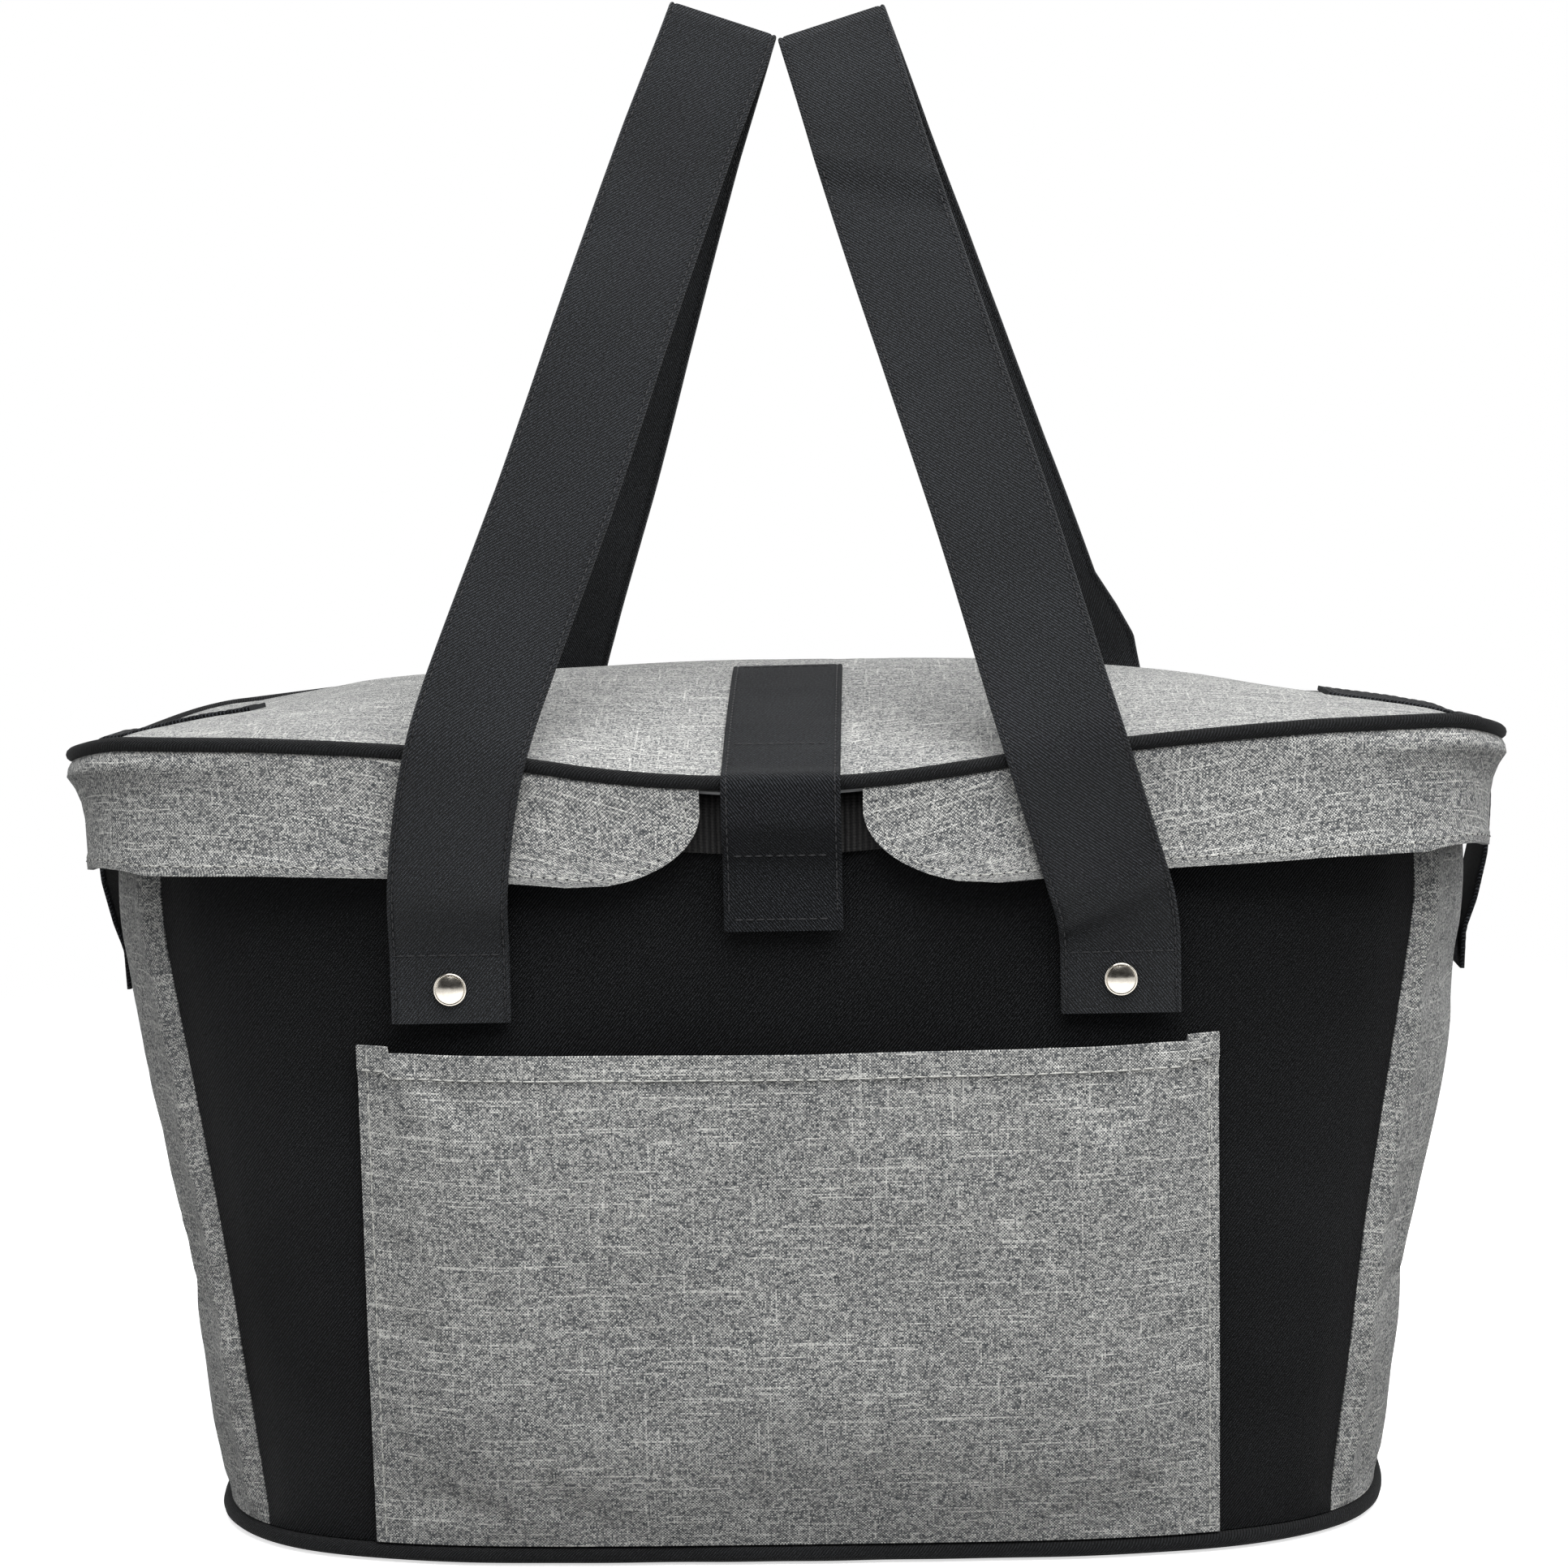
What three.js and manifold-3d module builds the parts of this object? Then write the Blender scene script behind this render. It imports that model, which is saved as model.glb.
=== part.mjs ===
// Soft insulated cooler bag: a tapered fabric body with a crowned lid, three closure tabs
// and two riveted carry straps. Millimetres, +Z up, +X to the bag's right, the front faces -Y.
// The origin is the middle of the base, on the floor.
import * as THREE from 'three';
import { mergeVertices } from 'three/addons/utils/BufferGeometryUtils.js';
import Module from 'manifold-3d';

const wasm = await Module();
wasm.setup();

// Body outline, a rounded rectangle that tapers from the mouth down to the belly and the base
const BASE_END_TAPER = 26.5;
const BASE_SIDE_TAPER = 7.5;
const BELLY_HEIGHT = 100;
const BELLY_END_TAPER = 14.5;
const BELLY_SIDE_TAPER = 3;
const SHOULDER_DROP = 51;
const SHOULDER_FLARE = 1;
const BODY_SQUARENESS = 4.2;
const SEAM_INSET_BASE = 25;
const SEAM_INSET_MOUTH = 24;

// Layers of the wall and the base
const GAP = 0.3;
const FABRIC = 1.2;
const WALL_FOAM = 5;
const LINER = 0.8;
const BOARD = 2;
const BASE_FOAM = 5;
const PIPING_RADIUS = 2.6;
const PIPING_LIFT = 0.2;
const BINDING = 1.2;
const BINDING_HEIGHT = 18;
const BINDING_INNER_HEIGHT = 14;

// Lid: edge height at the rear, its rise and dip along the front, crown and skirt
const LID_HALF_LENGTH = 223.5;
const LID_HALF_DEPTH = 130;
const LID_END_OVERHANG = 9.5;
const LID_SIDE_OVERHANG = 7.5;
const LID_SQUARENESS = 6.6;
const EDGE_HEIGHT = 251;
const FRONT_LIFT = 7;
const FRONT_DIP = 16;
const DIP_SPREAD = 90;
const CROWN = 21;
const CROWN_SQUARENESS = 2.6;
const RIM_DROP = 5;
const LID_FOAM = 6;
const PLUG_CLEARANCE = 2;
const LINER_MARGIN = 4.5;
const SKIRT = 1.4;
const SKIRT_HEIGHT = 33;
const SKIRT_REAR_END = 70;
const NOTCH_HALF_WIDTH = 24.5;
const NOTCH_RADIUS = 30;

// Lid hinge tape at the rear
const TAPE_LENGTH = 220;
const TAPE_DROP = 26;
const TAPE = 1.2;

// Closure tabs and their hook and loop strips
const TAB_WIDTH = 36;
const TAB = 2.4;
const TAB_LAY = 0.8;
const FRONT_TAB_DROP = 51;
const SIDE_TAB_DROP = 84;
const FRONT_ANCHOR_LENGTH = 126;
const SIDE_ANCHOR_LENGTH = 58;
const HOOK = 1;
const HOOK_LENGTH = 18;
const HOOK_MARGIN = 2;
const LOOP_WIDTH = 34;
const FRONT_LOOP_LENGTH = 16;
const SIDE_LOOP_LENGTH = 38;

// Patch pocket
const POCKET_HALF_WIDTH = 131.5;
const POCKET_TOP = 165.5;
const POCKET_DEPTH = 8;
const POCKET_SEAT = 0.5;

// Carry straps and rivets
const STRAP_WIDTH = 36.5;
const STRAP = 2.6;
const STRAP_RISE = 308;
const STRAP_LEAN = THREE.MathUtils.degToRad(19.4);
const STRAP_TAIL = 10.5;
const STRAP_SEAT = 13;
const STRAP_TURN = 90;
const RIVET_X = 101.6;
const RIVET_HEIGHT = 183.5;
const RIVET_CAP_RADIUS = 5.1;
const RIVET_CAP_HEIGHT = 2.4;
const RIVET_POST_RADIUS = 2;
const RIVET_BACK_RADIUS = 4.4;
const RIVET_BACK = 1;
const RIVET_SEAT = 0.6;
const DRILL_REACH = 20;

// Facet counts
const LONG_STEPS = 14;
const END_STEPS = 12;
const LID_STEPS = 44;
const SKIRT_STEPS = 12;
const PIPING_SIDES = 6;

// The body's outline follows the lid's, inside its overhang, and the tabs hang from its edge
const MOUTH_HALF_LENGTH = LID_HALF_LENGTH - LID_END_OVERHANG;
const MOUTH_HALF_DEPTH = LID_HALF_DEPTH - LID_SIDE_OVERHANG;
const SHOULDER_HEIGHT = EDGE_HEIGHT - SHOULDER_DROP;
const SHOULDER_HALF_LENGTH = MOUTH_HALF_LENGTH + SHOULDER_FLARE;
const SHOULDER_HALF_DEPTH = MOUTH_HALF_DEPTH;
const BELLY_HALF_LENGTH = MOUTH_HALF_LENGTH - BELLY_END_TAPER;
const BELLY_HALF_DEPTH = MOUTH_HALF_DEPTH - BELLY_SIDE_TAPER;
const BASE_HALF_LENGTH = MOUTH_HALF_LENGTH - BASE_END_TAPER;
const BASE_HALF_DEPTH = MOUTH_HALF_DEPTH - BASE_SIDE_TAPER;
const FRONT_TAB_BOTTOM = EDGE_HEIGHT - FRONT_TAB_DROP;
const SIDE_TAB_BOTTOM = EDGE_HEIGHT - SIDE_TAB_DROP;

// Sizes that follow from the ones above
const wallInner = FABRIC + WALL_FOAM + LINER + 2 * GAP;
const foamOuter = FABRIC + GAP;
const foamInner = foamOuter + WALL_FOAM;
const linerOuter = foamInner + GAP;
const wallBottom = PIPING_LIFT + 2 * PIPING_RADIUS + GAP;
const boardBottom = FABRIC + GAP;
const baseFoamBottom = boardBottom + BOARD + GAP;
const baseFoamTop = baseFoamBottom + BASE_FOAM;
const floorBottom = baseFoamTop + GAP;
const bindingOuter = -(GAP + BINDING);
const bindingInner = wallInner + GAP + BINDING;
const plugHalfLength = MOUTH_HALF_LENGTH - bindingInner - PLUG_CLEARANCE;
const plugHalfDepth = MOUTH_HALF_DEPTH - bindingInner - PLUG_CLEARANCE;

// Straight interpolation through [height, value] pairs
function along(table, z) {
  let k = 1;
  while (k < table.length - 1 && z > table[k][0]) k += 1;
  const [z0, a] = table[k - 1];
  const [z1, b] = table[k];
  return a + (b - a) * (z - z0) / (z1 - z0);
}

function halfLength(z) {
  return along([[0, BASE_HALF_LENGTH], [BELLY_HEIGHT, BELLY_HALF_LENGTH],
    [SHOULDER_HEIGHT, SHOULDER_HALF_LENGTH], [EDGE_HEIGHT, MOUTH_HALF_LENGTH]], z);
}

function halfDepth(z) {
  return along([[0, BASE_HALF_DEPTH], [BELLY_HEIGHT, BELLY_HALF_DEPTH],
    [SHOULDER_HEIGHT, SHOULDER_HALF_DEPTH], [EDGE_HEIGHT, MOUTH_HALF_DEPTH]], z);
}

// Distance from the centre to a rounded rectangle's edge, at a polar angle
function reach(angle, a, b, power) {
  const c = Math.abs(Math.cos(angle)) / a;
  const s = Math.abs(Math.sin(angle)) / b;
  return Math.pow(Math.pow(c, power) + Math.pow(s, power), -1 / power);
}

// The other coordinate of a rounded rectangle's edge: its y at x, or its x at y
function across(value, along_, across_, power) {
  const ratio = Math.min(Math.abs(value) / along_, 0.9999);
  return across_ * Math.pow(1 - Math.pow(ratio, power), 1 / power);
}

// Polar angles spaced evenly along a rounded rectangle's edge
function spread(from, to, steps, a, b, power) {
  const fine = 240;
  const lengths = [0];
  let last = null;
  for (let i = 0; i <= fine; i += 1) {
    const t = from + (to - from) * i / fine;
    const r = reach(t, a, b, power);
    const p = new THREE.Vector2(r * Math.cos(t), r * Math.sin(t));
    if (last) lengths.push(lengths[i - 1] + p.distanceTo(last));
    last = p;
  }
  const angles = [];
  let k = 0;
  for (let i = 0; i <= steps; i += 1) {
    const target = lengths[fine] * i / steps;
    while (k < fine - 1 && lengths[k + 1] < target) k += 1;
    const part = (target - lengths[k]) / (lengths[k + 1] - lengths[k]);
    angles.push(from + (to - from) * (k + Math.min(Math.max(part, 0), 1)) / fine);
  }
  return angles;
}

// Height of the lid's edge line, carried inward over the whole lid
function edge(x, y) {
  const front = Math.pow(Math.max(1 - y / LID_HALF_DEPTH, 0) / 2, 2);
  return EDGE_HEIGHT + front * (FRONT_LIFT - FRONT_DIP * Math.exp(-Math.pow(x / DIP_SPREAD, 2)));
}

// Height of the lid's top face
function dome(x, y) {
  const norm = Math.pow(Math.abs(x) / LID_HALF_LENGTH, CROWN_SQUARENESS)
    + Math.pow(Math.abs(y) / LID_HALF_DEPTH, CROWN_SQUARENESS);
  const ratio = Math.min(Math.pow(norm, 1 / CROWN_SQUARENESS), 1);
  return edge(x, y) + CROWN * Math.pow(Math.max(Math.cos(ratio * Math.PI / 2), 0), 1.5);
}

// A point on the body's wall, inset from the outer fabric
function wallPoint(angle, z, inset) {
  const r = reach(angle, halfLength(z) - inset, halfDepth(z) - inset, BODY_SQUARENESS);
  return new THREE.Vector3(r * Math.cos(angle), r * Math.sin(angle), z);
}

// Height of the mouth's rim over a polar angle
function rim(angle) {
  const p = wallPoint(angle, EDGE_HEIGHT, 0);
  return edge(p.x, p.y) - RIM_DROP;
}

// Polar angle of the front right seam, taken as positive, at a height
function seamAngle(z) {
  const a = halfLength(z);
  const x = a - THREE.MathUtils.lerp(SEAM_INSET_BASE, SEAM_INSET_MOUTH, z / EDGE_HEIGHT);
  return Math.atan2(across(x, a, halfDepth(z), BODY_SQUARENESS), x);
}

// Polar angles of one wall section at a height, drawn in a little from its seams
function sectionAngles(section, z, trim) {
  const s = seamAngle(z);
  const ends = {
    front: [Math.PI + s, 2 * Math.PI - s],
    right: [2 * Math.PI - s, 2 * Math.PI + s],
    rear: [2 * Math.PI + s, 3 * Math.PI - s],
    left: [3 * Math.PI - s, 3 * Math.PI + s],
  }[section];
  const steps = section === 'front' || section === 'rear' ? LONG_STEPS : END_STEPS;
  const angles = spread(ends[0], ends[1], steps, halfLength(z), halfDepth(z), BODY_SQUARENESS);
  angles[0] += trim / halfDepth(z) / 2;
  angles[steps] -= trim / halfDepth(z) / 2;
  return angles;
}

// Polar angles right round the body, matching the sections
function bodyAngles(z) {
  return ['front', 'right', 'rear', 'left']
    .flatMap((name) => sectionAngles(name, z, 0).slice(0, -1));
}

// Closed geometry from points and triangles, turned to face outward
function closed(points, triangles) {
  let volume = 0;
  const n = new THREE.Vector3();
  for (const [i, j, k] of triangles) {
    volume += points[i].dot(n.crossVectors(points[j], points[k]));
  }
  const order = volume < 0 ? triangles.map(([i, j, k]) => [i, k, j]) : triangles;
  const geometry = new THREE.BufferGeometry();
  geometry.setAttribute('position', new THREE.Float32BufferAttribute(points.flatMap((p) => p.toArray()), 3));
  geometry.setIndex(order.flat());
  geometry.computeVertexNormals();
  return geometry;
}

// A sheet between two matching grids of points
function sheetSolid(outer, inner) {
  const rows = outer.length;
  const columns = outer[0].length;
  const points = [...outer.flat(), ...inner.flat()];
  const back = rows * columns;
  const triangles = [];
  const quad = (a, b, c, d) => triangles.push([a, b, c], [a, c, d]);
  for (let v = 0; v < rows - 1; v += 1) {
    for (let u = 0; u < columns - 1; u += 1) {
      const a = v * columns + u;
      const b = a + 1;
      const c = b + columns;
      const d = a + columns;
      quad(a, b, c, d);
      quad(back + a, back + d, back + c, back + b);
    }
  }
  for (let u = 0; u < columns - 1; u += 1) {
    const top = (rows - 1) * columns + u;
    quad(u + 1, u, back + u, back + u + 1);
    quad(top, top + 1, back + top + 1, back + top);
  }
  for (let v = 0; v < rows - 1; v += 1) {
    const a = v * columns;
    const b = a + columns - 1;
    quad(a, a + columns, back + a + columns, back + a);
    quad(b + columns, b, back + b, back + b + columns);
  }
  return closed(points, triangles);
}

// A body through a stack of rings: its ends are filled, or the last ring meets the first.
// Facets are split the same way on both faces of a layer, so that layers stay clear of each other.
function ringSolid(rings, looped) {
  const count = rings[0].length;
  const points = rings.flat();
  const triangles = [];
  const last = looped ? rings.length : rings.length - 1;
  for (let k = 0; k < last; k += 1) {
    const low = k * count;
    const high = ((k + 1) % rings.length) * count;
    const narrowing = points[high].length() < points[low].length();
    for (let i = 0; i < count; i += 1) {
      const j = (i + 1) % count;
      if (narrowing) triangles.push([low + i, low + j, high + i], [low + j, high + j, high + i]);
      else triangles.push([low + i, low + j, high + j], [low + i, high + j, high + i]);
    }
  }
  if (!looped) {
    for (const [ring, turned] of [[rings[0], true], [rings[rings.length - 1], false]]) {
      const middle = ring.reduce((sum, p) => sum.add(p), new THREE.Vector3()).divideScalar(count);
      const first = turned ? 0 : (rings.length - 1) * count;
      points.push(middle);
      for (let i = 0; i < count; i += 1) {
        const j = (i + 1) % count;
        triangles.push(turned ? [first + j, first + i, points.length - 1] : [first + i, first + j, points.length - 1]);
      }
    }
  }
  return closed(points, triangles);
}

function toManifold(geometry) {
  const plain = geometry.clone();
  plain.deleteAttribute('normal');
  plain.deleteAttribute('uv');
  const merged = mergeVertices(plain, 1e-4);
  return new wasm.Manifold(new wasm.Mesh({
    numProp: 3,
    vertProperties: new Float32Array(merged.attributes.position.array),
    triVerts: new Uint32Array(merged.index.array),
  }));
}

// A geometry with other closed geometries cut out of it
function cut(geometry, tools) {
  let solid = toManifold(geometry);
  for (const tool of tools) solid = solid.subtract(toManifold(tool));
  const mesh = solid.getMesh();
  const result = new THREE.BufferGeometry();
  result.setAttribute('position', new THREE.Float32BufferAttribute(mesh.vertProperties, 3));
  result.setIndex(Array.from(mesh.triVerts));
  result.computeVertexNormals();
  return result;
}

const fabricGrey = { color: 0x77777a, roughness: 0.92, metalness: 0 };
const fabricBlack = { color: 0x1b1b1d, roughness: 0.85, metalness: 0 };
const pipingBlack = { color: 0x141416, roughness: 0.7, metalness: 0 };
const foamWhite = { color: 0xd9d9d4, roughness: 0.95, metalness: 0 };
const linerPale = { color: 0xd3d5d8, roughness: 0.45, metalness: 0 };
const boardGrey = { color: 0x8c8c88, roughness: 0.6, metalness: 0 };
const hookBlack = { color: 0x101012, roughness: 0.95, metalness: 0 };
const nickel = { color: 0xc2c2c0, roughness: 0.22, metalness: 1 };

const bag = new THREE.Group();
const body = new THREE.Group();
const lid = new THREE.Group();
const straps = new THREE.Group();
bag.add(body, lid, straps);

function piece(group, name, geometry, look) {
  const mesh = new THREE.Mesh(geometry, new THREE.MeshStandardMaterial(look));
  mesh.name = name;
  group.add(mesh);
  return mesh;
}

// Base: flat fabric inside a piped edge, a stiff board and foam above it
function bodyRing(z, inset) {
  return bodyAngles(z).map((angle) => wallPoint(angle, z, inset));
}

function plate(bottom, top, inset) {
  return ringSolid([bodyRing(bottom, inset), bodyRing(top, inset)], false);
}

const baseInset = PIPING_RADIUS + GAP;
piece(body, 'base_panel', plate(0, FABRIC, baseInset), fabricBlack);
piece(body, 'base_board', plate(boardBottom, boardBottom + BOARD, baseInset), boardGrey);
piece(body, 'base_foam', plate(baseFoamBottom, baseFoamTop, baseInset), foamWhite);

const basePipeHeight = PIPING_LIFT + PIPING_RADIUS;
const basePipe = [];
for (let k = 0; k < PIPING_SIDES; k += 1) {
  const turn = 2 * Math.PI * k / PIPING_SIDES;
  basePipe.push(bodyAngles(basePipeHeight).map((angle) => {
    const p = wallPoint(angle, basePipeHeight, -PIPING_RADIUS * Math.cos(turn));
    p.z += PIPING_RADIUS * Math.sin(turn);
    return p;
  }));
}
piece(body, 'base_piping', ringSolid(basePipe, true), pipingBlack);

// Walls: outer fabric and foam in four sections that meet at the seams
function wallSection(section, outer, inner, bottom, topDrop) {
  const levels = [bottom, BELLY_HEIGHT, SHOULDER_HEIGHT, null];
  const rows = (inset) => levels.map((level) => {
    const angles = sectionAngles(section, level === null ? EDGE_HEIGHT : level, GAP);
    return angles.map((angle) => wallPoint(angle, level === null ? rim(angle) - topDrop : level, inset));
  });
  return sheetSolid(rows(outer), rows(inner));
}

// A cylinder along Y at a rivet, between two distances from the middle plane
function rivetDrill(sideX, sideY, radius, near, far) {
  const drill = new THREE.CylinderGeometry(radius, radius, far - near, 24);
  drill.translate(sideX * RIVET_X, sideY * (near + far) / 2, RIVET_HEIGHT);
  return drill;
}

const rivetWall = across(RIVET_X, halfLength(RIVET_HEIGHT), halfDepth(RIVET_HEIGHT), BODY_SQUARENESS);
const rivetBackFace = rivetWall - FABRIC - RIVET_SEAT;
const wallTop = BINDING + GAP;
for (const [name, sideY] of [['front', -1], ['rear', 1]]) {
  const holes = [-1, 1].map((sideX) => rivetDrill(sideX, sideY, RIVET_POST_RADIUS + GAP,
    rivetWall - DRILL_REACH, rivetWall + DRILL_REACH));
  const recesses = [-1, 1].map((sideX) => rivetDrill(sideX, sideY, RIVET_BACK_RADIUS + 2 * GAP,
    rivetBackFace - RIVET_BACK - GAP, rivetWall + DRILL_REACH));
  piece(body, `${name}_panel`, cut(wallSection(name, 0, FABRIC, wallBottom, wallTop), holes), fabricBlack);
  piece(body, `${name}_foam`, cut(wallSection(name, foamOuter, foamInner, floorBottom, wallTop), recesses),
    foamWhite);
}
for (const name of ['left', 'right']) {
  piece(body, `${name}_gusset`, wallSection(name, 0, FABRIC, wallBottom, wallTop), fabricGrey);
  piece(body, `${name}_foam`, wallSection(name, foamOuter, foamInner, floorBottom, wallTop), foamWhite);
}

// Lining: one tub, open at the mouth
function levelRing(level, inset, drop) {
  const z = level === null ? EDGE_HEIGHT : level;
  return bodyAngles(z).map((angle) => wallPoint(angle, level === null ? rim(angle) - drop : level, inset));
}
const tubFloor = floorBottom + LINER;
piece(body, 'liner_tub', ringSolid([
  levelRing(floorBottom, linerOuter),
  levelRing(BELLY_HEIGHT, linerOuter),
  levelRing(SHOULDER_HEIGHT, linerOuter),
  levelRing(null, linerOuter, wallTop),
  levelRing(null, wallInner, wallTop),
  levelRing(SHOULDER_HEIGHT, wallInner),
  levelRing(BELLY_HEIGHT, wallInner),
  levelRing(tubFloor, wallInner),
], false), linerPale);

// Binding folded over the rim, down both faces of the wall
piece(body, 'rim_binding', ringSolid([
  [bindingOuter, BINDING_HEIGHT],
  [bindingOuter, 0],
  [bindingInner, 0],
  [bindingInner, BINDING_INNER_HEIGHT],
  [wallInner + GAP, BINDING_INNER_HEIGHT],
  [wallInner + GAP, BINDING],
  [-GAP, BINDING],
  [-GAP, BINDING_HEIGHT],
].map(([inset, drop]) => levelRing(null, inset, drop)), true), fabricBlack);

// Patch pocket on the front, standing off the panel and open at its top
function frontFace(x, z) {
  return across(x, halfLength(z), halfDepth(z), BODY_SQUARENESS);
}
const pocketBottom = wallBottom + GAP;
const swell = (t) => Math.sin(Math.min(t, 1) * Math.PI / 2);
function pocketRows(extra) {
  const levels = [0, 0.06, 0.16, 0.3, 0.5, 0.75, 1];
  const stations = [0, 0.03, 0.08, 0.16, 0.28, 0.42, 0.58, 0.72, 0.84, 0.92, 0.97, 1];
  return levels.map((v) => stations.map((u) => {
    const x = POCKET_HALF_WIDTH * (2 * u - 1);
    const z = THREE.MathUtils.lerp(pocketBottom, POCKET_TOP, v);
    const full = swell(Math.min(u, 1 - u) / 0.16) * swell(v / 0.3);
    const y = frontFace(x, z) + POCKET_SEAT + POCKET_DEPTH * full + extra;
    return new THREE.Vector3(x, -y, z);
  }));
}
piece(body, 'front_pocket', sheetSolid(pocketRows(FABRIC), pocketRows(0)), fabricGrey);

// Lid shell: crowned fabric over foam, a lining that drops into the mouth, and a piped edge
const lidAngles = spread(0, 2 * Math.PI, LID_STEPS, LID_HALF_LENGTH, LID_HALF_DEPTH, LID_SQUARENESS).slice(0, -1);

function lidRing(inset, depth) {
  return lidAngles.map((angle) => {
    const r = reach(angle, LID_HALF_LENGTH - inset, LID_HALF_DEPTH - inset, LID_SQUARENESS);
    const x = r * Math.cos(angle);
    const y = r * Math.sin(angle);
    return new THREE.Vector3(x, y, dome(x, y) - depth);
  });
}

function plugRing(scale, grow, depth) {
  return lidAngles.map((angle) => {
    const r = scale * reach(angle, plugHalfLength + grow, plugHalfDepth + grow, BODY_SQUARENESS);
    const x = r * Math.cos(angle);
    const y = r * Math.sin(angle);
    return new THREE.Vector3(x, y, dome(x, y) - depth);
  });
}

const inward = [0.75, 0.5, 0.25];
const lidFoamTop = FABRIC + GAP;
const lidFoamBottom = lidFoamTop + LID_FOAM;
const lidLinerTop = lidFoamBottom + GAP;
const lidLinerBottom = lidLinerTop + LINER;
const lidEdgeInset = PIPING_RADIUS + GAP;

piece(lid, 'lid_top', ringSolid([
  ...[...inward].reverse().map((scale) => plugRing(scale, 0, 0)),
  plugRing(1, 0, 0),
  lidRing(lidEdgeInset, 0),
  lidRing(lidEdgeInset, FABRIC),
  plugRing(1, 0, FABRIC),
  ...inward.map((scale) => plugRing(scale, 0, FABRIC)),
], false), fabricGrey);

piece(lid, 'lid_foam', ringSolid([
  ...[...inward].reverse().map((scale) => plugRing(scale, 0, lidFoamTop)),
  plugRing(1, 0, lidFoamTop),
  plugRing(1, 0, lidFoamBottom),
  ...inward.map((scale) => plugRing(scale, 0, lidFoamBottom)),
], false), foamWhite);

piece(lid, 'lid_liner', ringSolid([
  ...[...inward].reverse().map((scale) => plugRing(scale, 0, lidLinerTop)),
  plugRing(1, GAP, lidLinerTop),
  plugRing(1, GAP, lidFoamTop),
  lidRing(LINER_MARGIN, lidFoamTop),
  lidRing(LINER_MARGIN, lidFoamTop + LINER),
  plugRing(1, GAP + LINER, lidFoamTop + LINER),
  plugRing(1, GAP + LINER, lidLinerBottom),
  ...inward.map((scale) => plugRing(scale, 0, lidLinerBottom)),
], false), linerPale);

const lidPipeDrop = FABRIC / 2;
const lidPipe = [];
for (let k = 0; k < PIPING_SIDES; k += 1) {
  const turn = 2 * Math.PI * k / PIPING_SIDES;
  lidPipe.push(lidAngles.map((angle) => {
    const c = reach(angle, LID_HALF_LENGTH, LID_HALF_DEPTH, LID_SQUARENESS);
    const grow = PIPING_RADIUS * Math.cos(turn);
    const r = reach(angle, LID_HALF_LENGTH + grow, LID_HALF_DEPTH + grow, LID_SQUARENESS);
    const z = edge(c * Math.cos(angle), c * Math.sin(angle)) - lidPipeDrop + PIPING_RADIUS * Math.sin(turn);
    return new THREE.Vector3(r * Math.cos(angle), r * Math.sin(angle), z);
  }));
}
piece(lid, 'lid_piping', ringSolid(lidPipe, true), pipingBlack);

// Skirt: four lengths that hang from the piping between rounded notches
const skirtTopDrop = lidPipeDrop + PIPING_RADIUS + GAP;

function notchHalfWidth(down) {
  const t = THREE.MathUtils.clamp((down - SKIRT_HEIGHT + NOTCH_RADIUS) / NOTCH_RADIUS, 0, 1);
  return NOTCH_HALF_WIDTH + NOTCH_RADIUS * (1 - Math.sqrt(1 - t * t));
}

// Polar angle on the lid's edge, in the quarter x > 0 and y > 0, at a given x or y
function angleAtX(x) {
  return Math.atan2(across(x, LID_HALF_LENGTH, LID_HALF_DEPTH, LID_SQUARENESS), x);
}

function angleAtY(y) {
  return Math.atan2(y, across(y, LID_HALF_DEPTH, LID_HALF_LENGTH, LID_SQUARENESS));
}

function skirtLength(sideX, sideY, steps, first, last) {
  const levels = [0, 0.4, 0.66, 0.82, 0.92, 0.98, 1].map((v) => v * SKIRT_HEIGHT);
  const rows = (inset) => levels.map((down) => {
    const angles = spread(first(down), last(down), steps, LID_HALF_LENGTH, LID_HALF_DEPTH, LID_SQUARENESS);
    return angles.map((angle) => {
      const c = reach(angle, LID_HALF_LENGTH, LID_HALF_DEPTH, LID_SQUARENESS);
      const r = reach(angle, LID_HALF_LENGTH - inset, LID_HALF_DEPTH - inset, LID_SQUARENESS);
      const z = edge(c * Math.cos(angle), sideY * c * Math.sin(angle)) - skirtTopDrop - down;
      return new THREE.Vector3(sideX * r * Math.cos(angle), sideY * r * Math.sin(angle), z);
    });
  });
  return sheetSolid(rows(0), rows(SKIRT));
}

for (const [side, sideX] of [['left', -1], ['right', 1]]) {
  piece(lid, `skirt_front_${side}`, skirtLength(sideX, -1, SKIRT_STEPS,
    (down) => angleAtY(notchHalfWidth(down)), (down) => angleAtX(notchHalfWidth(down))), fabricGrey);
  piece(lid, `skirt_rear_${side}`, skirtLength(sideX, 1, 3,
    (down) => angleAtY(notchHalfWidth(down)), () => angleAtY(SKIRT_REAR_END)), fabricGrey);
}

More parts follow.
